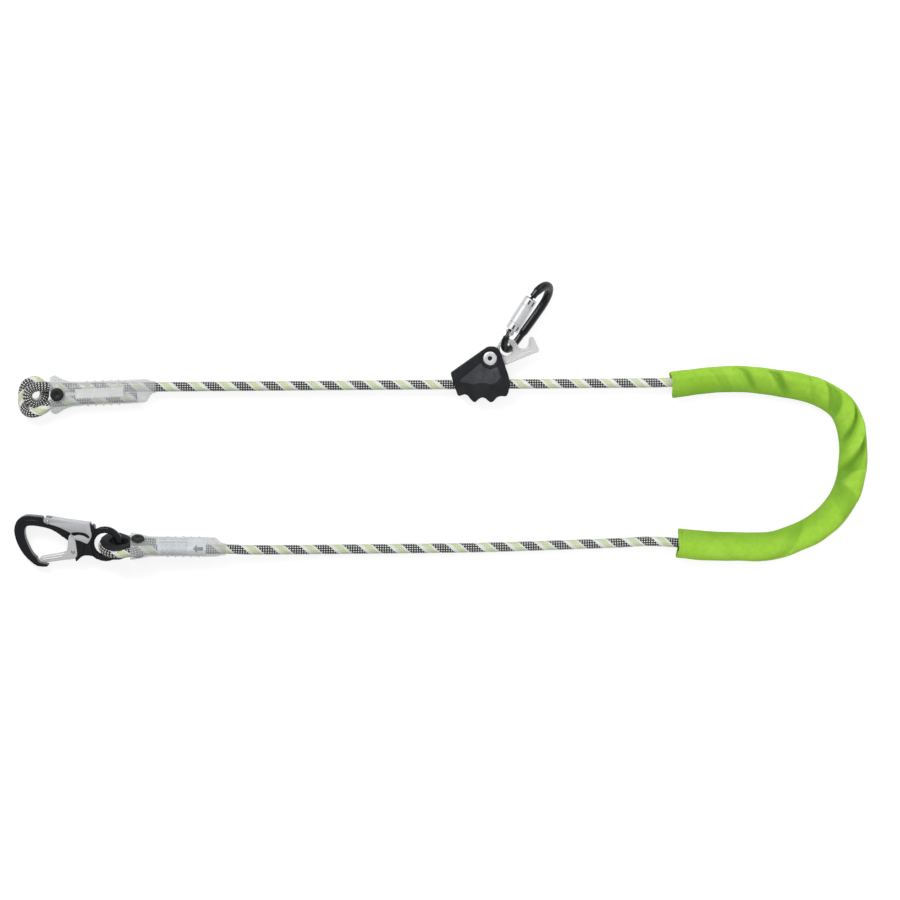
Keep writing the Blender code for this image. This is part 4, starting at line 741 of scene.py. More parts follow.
@dataclass(frozen=True)
class PrintedSlip(Finish):
    """A white slip with generic grey lines and a plain dark arrow; it holds no lettering."""

    ink: tuple[float, float, float] = (0.24, 0.25, 0.27)
    arrow: tuple[float, float, float] = (0.015, 0.017, 0.024)
    line_pitch: float = 0.0021
    line_ink: float = 0.58
    dash_scale: float = 620.0
    row_edge: tuple[float, float] = (0.24, 0.17)
    dash_edge: tuple[float, float] = (0.42, 0.46)
    rough_range: tuple[float, float] = (0.42, 0.55)
    row_step: float = 7.31
    field_start: float = 0.0030
    field_end: float = 0.0375
    arrow_across: float = 0.0149
    arrow_point: float = 0.0440
    arrow_neck: float = 0.0490
    arrow_end: float = 0.0570
    shaft_half: float = 0.0025
    soft_edge: float = 0.0004

    def dress(self, net: Net, shader: bpy.types.Node) -> None:
        """Rows of dashes on the left, an arrow near the right end.

        Args:
            net: The material's net.
            shader: Its Principled shader.
        """
        along, across, _ = net.split(net.chart())
        row = net.math("DIVIDE", across, self.line_pitch)
        off_row = net.math("ABSOLUTE", net.minus(net.math("FRACT", row, 0.0), 0.5))
        in_row = net.between(off_row, *self.row_edge)
        row_seed = net.times(net.math("FLOOR", row, 0.0), self.row_step)
        dashes = net.combine(net.times(along, self.dash_scale), row_seed)
        breaks = net.noise(dashes, scale=1.0, detail=1.0)
        dash = net.times(net.between(breaks, *self.dash_edge), in_row)
        soft = self.soft_edge
        field = net.times(net.between(along, self.field_start, self.field_start + soft),
                          net.between(along, self.field_end, self.field_end - soft))
        middle = net.math("ABSOLUTE", net.minus(across, self.arrow_across))
        shaft = net.times(net.between(middle, self.shaft_half, self.shaft_half - soft),
                          net.times(net.between(along, self.arrow_neck - soft, self.arrow_neck),
                                    net.between(along, self.arrow_end, self.arrow_end - soft)))
        slope = net.minus(along, self.arrow_point)
        head = net.times(net.math("LESS_THAN", middle, slope),
                         net.times(net.math("GREATER_THAN", along, self.arrow_point),
                                   net.math("LESS_THAN", along, self.arrow_neck)))
        inked = net.times(dash, net.times(field, self.line_ink))
        printed = net.mix(inked, self.colour, self.ink)
        net.put(shader.inputs["Base Color"],
                net.mix(net.math("MAXIMUM", shaft, head), printed, self.arrow))
        net.put(shader.inputs["Roughness"], net.lerp(breaks, *self.rough_range))


ROPE = BraidedSheath("braided_sheath", "rope", (0.88, 0.89, 0.84), 0.75)
LIME = WovenTube("lime_woven_tube", "lime_fabric", (0.37, 0.70, 0.030), 0.62)
HEM = SewingThread("lime_hem_thread", "lime_fabric", (0.42, 0.74, 0.10), 0.65)
THREAD = SewingThread("sewing_thread", "thread", (0.93, 0.93, 0.90), 0.7)
SLIP = PrintedSlip("printed_slip", "label", (0.90, 0.92, 0.96), 0.45)
SKIN = ClearSkin("clear_shrunk_skin", "clear_cover", (0.64, 0.66, 0.67), 0.2)
BLACK_PLASTIC = MouldedPlastic("moulded_black_plastic", "black_plastic", (0.006, 0.0065, 0.009), 0.46)
PANEL_PLASTIC = MouldedPlastic("textured_panel", "black_plastic", (0.030, 0.031, 0.037), 0.60,
                               dusty=(0.072, 0.075, 0.083), grain_scale=900.0, grain_depth=0.00012)
RUBBED_PLASTIC = MouldedPlastic("rubbed_edge", "black_plastic", (0.052, 0.054, 0.060), 0.5,
                                dusty=(0.085, 0.088, 0.095), grain_scale=900.0)
# Painted shade: near-black for the floor of the bolt's socket
SOCKET_SHADE = MouldedPlastic("socket_painted_shade", "black_alloy", (0.004, 0.004, 0.005), 0.7)
# Painted shade: dark grey for the sleeve's slots
SLOT_SHADE = MouldedPlastic("shaded_slot", "black_alloy", (0.055, 0.055, 0.062), 0.6)
BLACK_ALLOY = Alloy("anodised_black_alloy", "black_alloy", (0.007, 0.008, 0.011), 0.24, 0.35, gloss=0.38,
                    worn=(0.055, 0.057, 0.062), wear=0.16, grain_scale=1900.0, grain_depth=0.00002)
SATIN_ALLOY = Alloy("satin_bare_alloy", "bare_alloy", (0.66, 0.67, 0.69), 0.38, 0.75,
                    worn=(0.86, 0.86, 0.86), wear=0.30, grain_depth=0.00002, brushed=0.8)
PRESSED_ALLOY = Alloy("pressed_lever_alloy", "bare_alloy", (0.58, 0.59, 0.61), 0.40, 0.75,
                      worn=(0.80, 0.80, 0.81), wear=0.30, grain_depth=0.00002, brushed=0.8)
CAST_ALLOY = Alloy("fine_cast_alloy", "cast_alloy", (0.65, 0.655, 0.65), 0.50, 0.60,
                   worn=(0.83, 0.83, 0.82), wear=0.35, grain_scale=1300.0, grain_depth=0.00007)
STEEL = Alloy("plain_steel", "steel", (0.50, 0.50, 0.49), 0.30, 1.0,
              worn=(0.66, 0.66, 0.65), wear=0.3, grain_depth=0.00002, brushed=0.5)


def finish_piece(name: str, work: bmesh.types.BMesh, body: str, finish: Finish, angle: float = 35.0,
                 replaced: Sequence[str] = (), outward: bool = True) -> bpy.types.Object:
    """Turn a bmesh into a finished piece of the model.

    Args:
        name: The piece's name.
        work: Its shape in the frame's own place; it is freed.
        body: The body that it rides on.
        finish: Its finish.
        angle: Edges sharper than this many degrees stay sharp.
        replaced: The CAD nodes that it stands for.
        outward: Whether its normals are worked out again.

    Returns:
        The new object.
    """
    if outward:
        bmesh.ops.recalc_face_normals(work, faces=work.faces)
    mesh = bpy.data.meshes.new(name)
    work.to_mesh(mesh)
    work.free()
    mesh.shade_smooth()
    mesh.set_sharp_from_angle(angle=math.radians(angle))
    piece = bpy.data.objects.new(name, mesh)
    bpy.context.scene.collection.objects.link(piece)
    mesh.materials.append(finish.material())
    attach(piece, body)
    if replaced:
        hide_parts(*replaced)
    log.info("%s: %d faces on %s", name, len(mesh.polygons), body)
    return piece


def formed(columns: int, rows: int, place: Callable[[float, float], Point], chart: tuple[float, float],
           closed: bool = True) -> bmesh.types.BMesh:
    """Shape a grid by a formula.

    Args:
        columns: Faces along the first share.
        rows: Faces along the second share.
        place: Gives a vertex's place from its two shares.
        chart: What the chart's two directions are worth over the whole grid.
        closed: Whether the second direction closes on itself.

    Returns:
        The shaped surface, open at its two ends.
    """
    work = bmesh.new()
    layer = work.loops.layers.uv.new("UVMap")
    bmesh.ops.create_grid(work, x_segments=columns, y_segments=rows, size=0.5, calc_uvs=False)
    for face in work.faces:
        for loop in face.loops:
            at = loop.vert.co
            loop[layer].uv = ((at.x + 0.5) * chart[0], (at.y + 0.5) * chart[1])
    for vert in work.verts:
        vert.co = place(vert.co.x + 0.5, vert.co.y + 0.5)
    if closed:
        bmesh.ops.remove_doubles(work, verts=work.verts, dist=WELD)
    return work


def close_ends(work: bmesh.types.BMesh) -> None:
    """Fill the open ends of a tube."""
    rim = [edge for edge in work.edges if edge.is_boundary]
    bmesh.ops.holes_fill(work, edges=rim, sides=0)


def smooth_line(points: Sequence[Point], steps: int) -> list[Vector]:
    """A smooth curve through points.

    Args:
        points: The points that it passes.
        steps: Points for each span.

    Returns:
        The dense line.
    """
    known = [Vector(p) for p in points]
    padded = [known[0] * 2 - known[1], *known, known[-1] * 2 - known[-2]]
    line = []
    for a, b, c, d in zip(padded, padded[1:], padded[2:], padded[3:]):
        for step in range(steps):
            t = step / steps
            line.append(0.5 * ((2 * b) + (c - a) * t + (2 * a - 5 * b + 4 * c - d) * t * t
                               + (3 * b - a - 3 * c + d) * t ** 3))
    line.append(known[-1])
    return line


def length_of(line: Sequence[Vector]) -> float:
    """The length of a line."""
    return sum((b - a).length for a, b in zip(line, line[1:]))


def even(line: Sequence[Vector], count: int) -> list[Vector]:
    """Points at even steps along a dense line.

    Args:
        line: The dense line.
        count: How many steps.

    Returns:
        One point more than the steps.
    """
    total = length_of(line)
    result, span, walked = [], 0, 0.0
    piece = (line[1] - line[0]).length
    for step in range(count + 1):
        target = total * step / count
        while span < len(line) - 2 and walked + piece < target:
            walked += piece
            span += 1
            piece = (line[span + 1] - line[span]).length
        share = (target - walked) / piece if piece else 0.0
        result.append(line[span].lerp(line[span + 1], min(max(share, 0.0), 1.0)))
    return result


@dataclass
class Course:
    """A line with a pair of cross directions at each of its points that never twist."""

    line: list[Vector]

    def __post_init__(self) -> None:
        """Carry the cross directions along the line, level at its start."""
        self.side: list[Vector] = []
        self.rise: list[Vector] = []
        rise = Vector((0.0, 0.0, 1.0))
        last = len(self.line) - 1
        for index in range(last + 1):
            ahead = (self.line[min(index + 1, last)] - self.line[max(index - 1, 0)]).normalized()
            side = ahead.cross(rise).normalized()
            rise = side.cross(ahead).normalized()
            self.side.append(side)
            self.rise.append(rise)

    def at(self, share: float, across: float, over: float) -> Vector:
        """A place beside the line's point at a share, some metres to the side and upwards."""
        index = round(share * (len(self.line) - 1))
        return self.line[index] + self.side[index] * across + self.rise[index] * over


def thread_tube(line: Sequence[Vector], radius: float, sides: int) -> bmesh.types.BMesh:
    """A closed round tube along a line.

    Args:
        line: The tube's middle.
        radius: The tube's radius.
        sides: Faces round it.

    Returns:
        The closed tube.
    """
    course = Course([Vector(p) for p in line])
    count = len(line) - 1
    length = length_of(course.line)

    def place(along: float, around: float) -> Vector:
        """One vertex of the tube."""
        angle = math.tau * around
        return course.at(along, radius * math.cos(angle), radius * math.sin(angle))

    work = formed(count, sides, place, (length, math.tau * radius))
    close_ends(work)
    return work


def turned(profile: Sequence[tuple[float, float]], steps: int) -> bmesh.types.BMesh:
    """Spin a profile about Z into a closed solid of revolution.

    Args:
        profile: Pairs of radius and height.
        steps: Faces round it.

    Returns:
        The closed solid.
    """
    work = bmesh.new()
    verts = [work.verts.new((radius, 0.0, height)) for radius, height in profile]
    edges = [work.edges.new(pair) for pair in zip(verts, verts[1:])]
    bmesh.ops.spin(work, geom=verts + edges, cent=(0, 0, 0), axis=(0, 0, 1), angle=math.tau,
                   steps=steps, use_merge=True)
    bmesh.ops.remove_doubles(work, verts=work.verts, dist=WELD)
    close_ends(work)
    return work


def node_copy(*nodes: str) -> bmesh.types.BMesh:
    """A merged copy of CAD nodes, with their flat faces whole again.

    Args:
        nodes: The nodes' names.

    Returns:
        One shape with all of them.
    """
    work = bmesh.new()
    for node in nodes:
        work.from_mesh(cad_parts[node].data)
    bmesh.ops.remove_doubles(work, verts=work.verts, dist=WELD / 4)
    bmesh.ops.dissolve_limit(work, angle_limit=FLAT_ANGLE, verts=work.verts, edges=work.edges)
    return work


def evaluated(work: bmesh.types.BMesh,
              modifiers: Sequence[tuple[str, dict[str, object]]]) -> bmesh.types.BMesh:
    """Run modifiers on a shape.

    Args:
        work: The shape; it is freed.
        modifiers: Each modifier's type and settings, in order.

    Returns:
        The shape that they give.
    """
    mesh = bpy.data.meshes.new("in_hand")
    work.to_mesh(mesh)
    work.free()
    holder = bpy.data.objects.new("in_hand", mesh)
    bpy.context.scene.collection.objects.link(holder)
    for kind, settings in modifiers:
        modifier = holder.modifiers.new(kind, kind)
        for name, value in settings.items():
            setattr(modifier, name, value)
    bpy.context.view_layer.update()
    result = bmesh.new()
    result.from_mesh(holder.evaluated_get(bpy.context.evaluated_depsgraph_get()).data)
    bpy.data.objects.remove(holder)
    bpy.data.meshes.remove(mesh)
    return result


def softened(work: bmesh.types.BMesh, width: float, angle: float = 30.0) -> bmesh.types.BMesh:
    """Round the sharp edges of a shape.

    Args:
        work: The shape; it is freed.
        width: How far the rounding reaches.
        angle: Edges sharper than this many degrees are rounded.

    Returns:
        The rounded shape.
    """
    return evaluated(work, [("BEVEL", {"width": width, "segments": 3, "limit_method": "ANGLE",
                                       "angle_limit": math.radians(angle), "profile": 0.5,
                                       "use_clamp_overlap": True})])


def forged(work: bmesh.types.BMesh, voxel: float, passes: int) -> bmesh.types.BMesh:
    """Flow a faceted solid into one smooth forging or casting; the solid is freed."""
    return evaluated(work, [("REMESH", {"mode": "VOXEL", "voxel_size": voxel, "adaptivity": 0.0}),
                            ("SMOOTH", {"factor": 0.5, "iterations": passes})])


def joined(shapes: Sequence[bmesh.types.BMesh]) -> bmesh.types.BMesh:
    """Put several shapes into one.

    Args:
        shapes: The shapes; they are freed.

    Returns:
        The one shape.
    """
    whole = bmesh.new()
    whole.loops.layers.uv.new("UVMap")
    for shape in shapes:
        mesh = bpy.data.meshes.new("in_hand")
        shape.to_mesh(mesh)
        shape.free()
        whole.from_mesh(mesh)
        bpy.data.meshes.remove(mesh)
    return whole


# The rope

@dataclass
class Rope:
    """The braided rope: the loose run between the two covers, and the two sewn eyes."""

    run_start: Vector = Vector((-0.39456, 0.04749, 0.0135))
    run_end: Vector = Vector((0.215, 0.05239, 0.0135))
    run_spans: int = 6
    upper_neck: Vector = Vector((-0.35684, 0.04779, 0.0135))
    sides: int = 24
    relief: float = 0.00024
    route: tuple[Point, ...] = (
        (0.2400, 0.0526, 0.0135), (0.2700, 0.0531, 0.0131), (0.3000, 0.0545, 0.0117),
        (0.3338, 0.0570, 0.0097), (0.3688, 0.0583, 0.0082), (0.3950, 0.0566, 0.0084),
        (0.4225, 0.0529, 0.0083), (0.4475, 0.0480, 0.0083), (0.4733, 0.0394, 0.0083),
        (0.4950, 0.0236, 0.0083), (0.5072, 0.0006, 0.0083), (0.5113, -0.0271, 0.0083),
        (0.5100, -0.0549, 0.0083), (0.5028, -0.0830, 0.0083), (0.4884, -0.1072, 0.0083),
        (0.4680, -0.1262, 0.0083), (0.4446, -0.1390, 0.0083), (0.4094, -0.1500, 0.0083),
        (0.3631, -0.1515, 0.0083), (0.3294, -0.1500, 0.0083), (0.2958, -0.1468, 0.0081),
        (0.2600, -0.1448, 0.0067), (0.2175, -0.1469, 0.0064), (0.1575, -0.1491, 0.0064),
        (0.0975, -0.1512, 0.0064), (0.0375, -0.1528, 0.0064), (-0.0225, -0.1537, 0.0064),
        (-0.0825, -0.1543, 0.0064), (-0.1225, -0.1547, 0.0069), (-0.1625, -0.1551, 0.0085),
        (-0.2025, -0.1553, 0.0116), (-0.2400, -0.1553, 0.0152), (-0.26931, -0.15441, 0.01732),
        (-0.30585, -0.15478, 0.02095))

    def tube(self, line: Sequence[Vector], phase: float,
             roll: Sequence[tuple[float, float]] = ((0.0, 0.0), (1.0, 0.0))) -> bmesh.types.BMesh:
        """A braided tube along a line, its yarns raised over the gaps between them.

        Args:
            line: The dense line.
            phase: Metres by which the colour bands are moved along.
            roll: Pairs of share along and turns, between which the rope is twisted about itself.

        Returns:
            The closed tube, charted in metres along and turns around.
        """
        step = ROPE.pitch / self.sides
        length = length_of(line)
        count = round(length / step)
        course = Course(even(line, count))
        sides = self.sides

        def place(along: float, around: float) -> Vector:
            """One vertex: yarn crowns stand out, crossings lie deep.

            Args:
                along: Share of the length.
                around: Share of a turn.

            Returns:
                Its place.
            """
            ring, side = round(along * count), round(around * sides)
            deep = self.relief if (ring + side) % 2 == 0 else 0.0
            radius = ROPE_RADIUS - deep
            twist = 0.0
            for (low, first), (high, last) in zip(roll, roll[1:]):
                if low <= along <= high:
                    twist = first + (last - first) * (along - low) / (high - low)
            angle = math.tau * (around + twist)
            return course.at(along, radius * math.cos(angle), radius * math.sin(angle))

        work = formed(count, sides, place, (length, 1.0))
        layer = work.loops.layers.uv.active
        for face in work.faces:
            for loop in face.loops:
                loop[layer].uv.x += phase
        close_ends(work)
        return work

    def build_run(self) -> None:
        """The loose run, from the upper cover to the lower one."""
        straight = [self.run_start.lerp(self.run_end, k / self.run_spans) for k in range(self.run_spans)]
        line = straight + smooth_line([self.run_end, *self.route], steps=8)
        piece = finish_piece("rope_run_braid", self.tube(line, 0.0), "root", ROPE, SMOOTH, ("rope_run",))
        self.run_start.lerp(self.upper_neck, 0.5)
        length_of(line)
        log.info("rope_run_braid: %.3f m", length_of(line))


@dataclass
class SewnEnd:
    """One sewn end: two legs side by side, their seam, a clear cover and a black plug."""

    label: str
    at: Vector
    turn: Euler
    length: float
    tail_end: float
    join_at: float
    side: int
    leg_pitch: float = 0.0136
    leg_spread: float = 0.0092
    settle_at: float = 0.060
    neck_offset: float = 0.0045
    leg_slope: float = math.tan(math.radians(2.04))
    past_plug: float = 0.030
    taper_share: float = 0.35
    running_gap: float = 0.0004
    wall: float = 0.0010
    mouth_half: float = 0.0242
    mouth_at: float = 0.0185
    plug_at: float = 0.0276
    seam_pad: float = 0.0007
    seam_width: float = 0.0120
    seam_start: float = 0.050
    seam_back: float = 0.016
    rib_pitch: float = 0.0097
    rib_height: float = 0.0013
    rib_half: float = 0.0024
    rib_over: float = 0.4
    ribs: int = 5
    neck_taper: float = 0.0110
    slip_room: float = 0.0016
    flare_step: float = 0.0030
    flare_rise: float = 1.25
    flare_shares: tuple[tuple[float, float], ...] = ((0.88, 2.6), (1.0, 1.7), (0.85, 2.0))
    settling_shares: tuple[tuple[float, ...], ...] = ((3.0, 1.23, 1.10, 2.3), (5.5, 1.07, 1.0, 2.5))
    body_box: float = 2.7
    step_shares: tuple[float, float, float] = (0.97, 2.6, 0.10)
    neck_shares: tuple[float, float, float] = (0.45, 1.12, 2.1)
    round_box: float = 2.0
    ease: float = 0.0025
    wave: float = 0.00012
    wave_turns: tuple[float, float] = (310.0, 97.0)
    drawn_in: float = 0.0012
    drawn_half: float = 0.0045
    drawn_from: float = 0.7
    drawn_fade: float = 0.02
    chart_girth: float = 0.07
    head_radius: float = 0.0083
    head_height: float = 0.0016
    head_shares: tuple[tuple[float, float], ...] = (
        (0.0, 0.72), (0.30, 0.74), (0.36, 0.98), (0.62, 1.0), (0.80, 0.94), (0.94, 0.72), (1.0, 0.40),
        (1.0, 0.08), (0.97, 0.0))
    shank_share: float = 0.85
    skin_angle: float = 50.0
    skin_share: float = 0.8
    thread_radius: float = 0.00034
    thread_sunk: float = 0.45
    swing_share: float = 0.46
    stitch_pitch: float = 0.0017
    seam_rows: int = 5
    sides: int = 56
    first_vertex_share: float = 0.25
    rings: int = 190

    @property
    def frame(self) -> Matrix:
        """The place and turn of this end."""
        return Matrix.LocRotScale(self.at, self.turn, None)

    @property
    def half_height(self) -> float:
        """Half the room inside the cover across legs, seam and slip."""
        return ROPE_RADIUS + self.seam_pad + self.slip_room

    def leg_offset(self, along: float) -> float:
        """How far the loaded leg lies from the cover's axis."""
        return self.neck_offset + (self.length - along) * self.leg_slope

    @property
    def half_width(self) -> float:
        """Half the room inside the cover beside its legs."""
        return self.leg_offset(self.settle_at) + ROPE_RADIUS + self.running_gap

    def loaded_leg(self) -> list[Point]:
        """The loaded leg from its hidden cut to the plug."""
        return [(u, self.side * self.leg_offset(u), 0.0) for u in (self.join_at, self.settle_at,
                                                                  self.past_plug)]

    def short_leg(self) -> list[Point]:
        """The short leg from the plug to its cut end.

        Returns:
            Its points.
        """
        settled = self.leg_pitch / 2 + self.running_gap
        middle = (self.settle_at + self.past_plug) / 2
        drawn = settled + (self.leg_spread - settled) * self.taper_share
        return [(self.past_plug, -self.side * self.leg_spread, 0.0), (middle, -self.side * drawn, 0.0),
                (self.settle_at, -self.side * settled, 0.0), (self.tail_end, -self.side * settled, 0.0)]

    def build_eye(self, rope: Rope, turns: Sequence[Point], phase: float,
                  facing: tuple[int, int] | None = None) -> None:
        """The eye and both legs as one braided tube.

        Args:
            rope: Makes the braid.
            turns: The eye's own points, from the loaded leg to the short one.
            phase: Where the colour bands start.
            facing: First and last of the eye's points between which the dark band keeps on top.
        """
        steps = 10
        line = smooth_line([*self.loaded_leg(), *turns, *self.short_leg()], steps)
        roll = [(0.0, 0.0), (1.0, 0.0)]
        if facing is not None:
            first, last = (length_of(line[:(len(self.loaded_leg()) + k) * steps + 1]) for k in facing)
            start, whole = (first + phase) / ROPE.pitch % 1.0, length_of(line)
            held = start + (last - first) / ROPE.pitch
            roll = [(0.0, start), (first / whole, start), (last / whole, held), (1.0, held)]
        work = rope.tube(line, phase, roll)
        work.transform(self.frame)
        node = f"rope_eye_{self.label}"
        finish_piece(node + "_braid", work, "root", ROPE, SMOOTH, (node,))

    def sections(self) -> list[tuple[float, float, float, float, float]]:
        """The cover's inner sections from its mouth to its neck.

        Returns:
            Place, half width, half height, boxiness and side shift of each.
        """
        body, high = self.half_width, self.half_height
        neck = ROPE_RADIUS + self.running_gap
        shift = self.side * self.neck_offset
        step_at = self.length - self.neck_taper
        tip, tall = self.flare_step, high * self.flare_rise
        flare_at = (self.mouth_at, self.plug_at - tip, self.plug_at + tip)
        flare = [(at, self.mouth_half * wide, tall, box, 0.0)
                 for at, (wide, box) in zip(flare_at, self.flare_shares)]
        settling = [(self.plug_at + tip * steps, body * wide, high * rise, box, 0.0)
                    for steps, wide, rise, box in self.settling_shares]
        shoulder, shoulder_box, moved = self.step_shares
        past_step, full, full_box = self.neck_shares
        return [*flare, *settling,
                (self.settle_at, body, high, self.body_box, 0.0),
                (step_at - self.neck_taper, body, high, self.body_box, 0.0),
                (step_at, body * shoulder, high, shoulder_box, shift * moved),
                (step_at + self.neck_taper * past_step, neck * full, neck * full, full_box, shift),
                (self.length, neck, neck, self.round_box, shift)]

    def section(self, along: float) -> tuple[float, float, float, float]:
        """The cover's inner section, eased between its main sections.

        Args:
            along: Metres along the cover.

        Returns:
            Half width, half height, boxiness and side shift.
        """
        reach = min(self.ease, along - self.mouth_at, self.length - along)
        taken = [self.straight_section(along + step * reach / 2) for step in (-2, -1, 0, 1, 2)]
        return tuple(sum(column) / len(taken) for column in zip(*taken))

    def straight_section(self, along: float) -> tuple[float, ...]:
        """The cover's inner section, with straight runs between its main sections.

        Args:
            along: Metres along the cover.

        Returns:
            Half width, half height, boxiness and side shift.
        """
        known = self.sections()
        for low, high in zip(known, known[1:]):
            if along <= high[0]:
                t = max(0.0, (along - low[0]) / (high[0] - low[0]))
                return tuple(a + (b - a) * t for a, b in zip(low[1:], high[1:]))
        return known[-1][1:]

    def rib_rise(self, along: float) -> float:
        """How far the skin stands out at a rib.

        Args:
            along: Metres along the cover.

        Returns:
            Metres outwards.
        """
        for rib in range(self.ribs):
            away = abs(along - self.settle_at - self.rib_pitch * (rib + 0.5))
            if away < self.rib_half:
                return self.rib_height * math.cos(away / self.rib_half * math.pi / 2) ** 2
        return 0.0

    def skin(self) -> bmesh.types.BMesh:
        """The cover's skin, grown from its inner sections by its wall.

        Returns:
            The open tube.
        """
        def place(share: float, around: float) -> Vector:
            """One vertex: the box is stretched over the legs and drawn in between them.

            Args:
                share: Share of the cover's length.
                around: Share of a turn.

            Returns:
                Its place.
            """
            along = self.mouth_at + (self.length - self.mouth_at) * share
            width, high, box, shift = self.section(along)
            rib = self.rib_rise(along)
            angle = math.tau * (around + self.first_vertex_share / self.sides)
            c, s = math.cos(angle), math.sin(angle)
            fine, slow = self.wave_turns
            wavy = self.wave * math.sin(along * fine + angle * 2) * math.sin(along * slow)
            across = math.copysign((width + self.wall + rib + wavy) * abs(c) ** (2 / box), c)
            over = math.copysign((high + self.wall + rib * self.rib_over) * abs(s) ** (2 / box), s)
            past_flare = (along - self.settle_at * self.drawn_from) / self.drawn_fade
            before_neck = (self.length - along) / self.drawn_fade - 1.0
            body = max(0.0, min(1.0, past_flare, before_neck))
            dip = self.drawn_in * body * math.exp(-(across / self.drawn_half) ** 2)
            return Vector((along, across + shift, over - math.copysign(dip, s)))

        return formed(self.rings, self.sides, place, (self.length, self.chart_girth))

    def build_cover(self) -> None:
        """The clear shell, with a wall, a flared mouth and ribs."""
        work = self.skin()
        bmesh.ops.recalc_face_normals(work, faces=work.faces)
        work = evaluated(work, [("SOLIDIFY", {"thickness": self.wall * self.skin_share, "offset": -1.0})])
        work.transform(self.frame)
        node = f"cover_{self.label}"
        finish_piece(node + "_skin", work, "root", SKIN, self.skin_angle, (node,))

    def build_plug(self) -> None:
        """The black plug: a domed head outside each wall of the cover, and a shank between the legs."""
        face = self.half_height * self.flare_rise + self.wall + FIT_GAP
        thick, radius = self.head_height, self.head_radius
        shank = (self.leg_spread - ROPE_RADIUS - FIT_GAP) * self.shank_share
        top = [(radius * r, face + thick * h) for r, h in self.head_shares] + [(shank, face)]
        profile = top + [(r, -h) for r, h in reversed(top)]
        work = turned(profile, steps=48)
        work.transform(self.frame @ Matrix.Translation((self.plug_at, 0.0, 0.0)))
        node = f"plug_{self.label}"
        finish_piece(node + "_rivet", work, "root", BLACK_PLASTIC, MOULDED, (node,))

    def build_seam(self) -> None:
        """The seam: rows of zigzag thread over and under both legs, on the CAD pads that hold them."""
        end = self.tail_end - self.seam_back
        crown = ROPE_RADIUS + FIT_GAP + self.seam_pad * self.thread_sunk
        strands = []
        row_width = self.seam_width / self.seam_rows
        swing = row_width * self.swing_share
        count = round((end - self.seam_start) / self.stitch_pitch)
        for face in (1, -1):
            for row in range(self.seam_rows):
                middle = row_width * (row + 0.5) - self.seam_width / 2
                line = [Vector((self.seam_start + (end - self.seam_start) * k / count,
                                middle + swing * (-1) ** k, face * crown)) for k in range(count + 1)]
                strands.append(thread_tube(line, self.thread_radius, sides=6))
        work = joined(strands)
        work.transform(self.frame)
        finish_piece(f"seam_{self.label}_threads", work, "root", THREAD, SMOOTH)


@dataclass
class PrintedLabel:
    """The slip inside the lower cover."""

    end: SewnEnd
    start: float = 0.052
    stop: float = 0.112
    first_angle: float = math.radians(38.0)
    arc: float = math.radians(187.0)
    girth: float = 0.026
    drawn_in: float = 0.0010
    inset: float = FIT_GAP * 1.5
    thickness: float = 0.00025
    columns: int = 60
    rows: int = 60

    def build(self) -> None:
        """A thin curved slip against the cover's inner wall, printed with plain lines and an arrow."""
        half, high, box = self.end.half_width, self.end.half_height, self.end.body_box

        def place(share: float, around: float) -> Vector:
            """One vertex of the slip's outer face.

            Args:
                share: Share of its length.
                around: Share of its arc.

            Returns:
                Its place.
            """
            angle = self.first_angle + self.arc * around
            c, s = math.cos(angle), math.sin(angle)
            across = math.copysign((half - self.inset) * abs(c) ** (2 / box), c)
            dip = self.drawn_in * math.exp(-(across / self.end.drawn_half) ** 2)
            return Vector((self.start + (self.stop - self.start) * share, across,
                           math.copysign((high - self.inset) * abs(s) ** (2 / box) - dip, s)))

        work = formed(self.columns, self.rows, place, (self.stop - self.start, self.girth), closed=False)
        bmesh.ops.recalc_face_normals(work, faces=work.faces)
        work = evaluated(work, [("SOLIDIFY", {"thickness": self.thickness, "offset": 0.0})])
        work.transform(self.end.frame)
        finish_piece("label_slip", work, "root", SLIP, SMOOTH, ("label",))


@dataclass
class Thimble:
    """The black thimble of the lower eye, with rounded flanges."""

    rounding: float = 0.00045
    edge_angle: float = 28.0

    def build(self) -> None:
        """The CAD thimble with every edge rounded as a moulding's."""
        work = softened(node_copy("thimble"), self.rounding, self.edge_angle)
        finish_piece("thimble_moulding", work, "root", BLACK_PLASTIC, TURNED, ("thimble",))


class Fold(Enum):
    """Which side of a crease is the steep one."""

    FORWARD = 1.0
    BACKWARD = -1.0


@dataclass(frozen=True)
class Crease:
    """One crease: its places at the tube's outer and inner edge, its width, depth and steep side."""

    outer: float
    inner: float
    width: float
    depth: float
    fold: Fold = Fold.FORWARD
    pinch: float = 0.0

    def push(self, along: float, lean: float) -> float:
        """How far the cloth goes in at a place.

        Args:
            along: Metres along the tube.
            lean: From -1 at the outer edge to 1 at the inner edge.

        Returns:
            Metres inwards; a ridge is negative.
        """
        line = self.outer + (self.inner - self.outer) * (lean + 1) / 2
        share = (along - line) / self.width * self.fold.value
        lead, ridge, steep, reach = 1.2, -0.40, 0.46, 2.0
        if -lead < share <= 0.0:
            return self.depth * ridge * (1 + math.cos(math.pi * share / lead)) / 2
        if 0.0 < share <= steep:
            return self.depth * (ridge + (1.0 - ridge) * (1 - math.cos(math.pi * share / steep)) / 2)
        if steep < share < reach:
            return self.depth * (1 + math.cos(math.pi * (share - steep) / (reach - steep))) / 2
        return 0.0


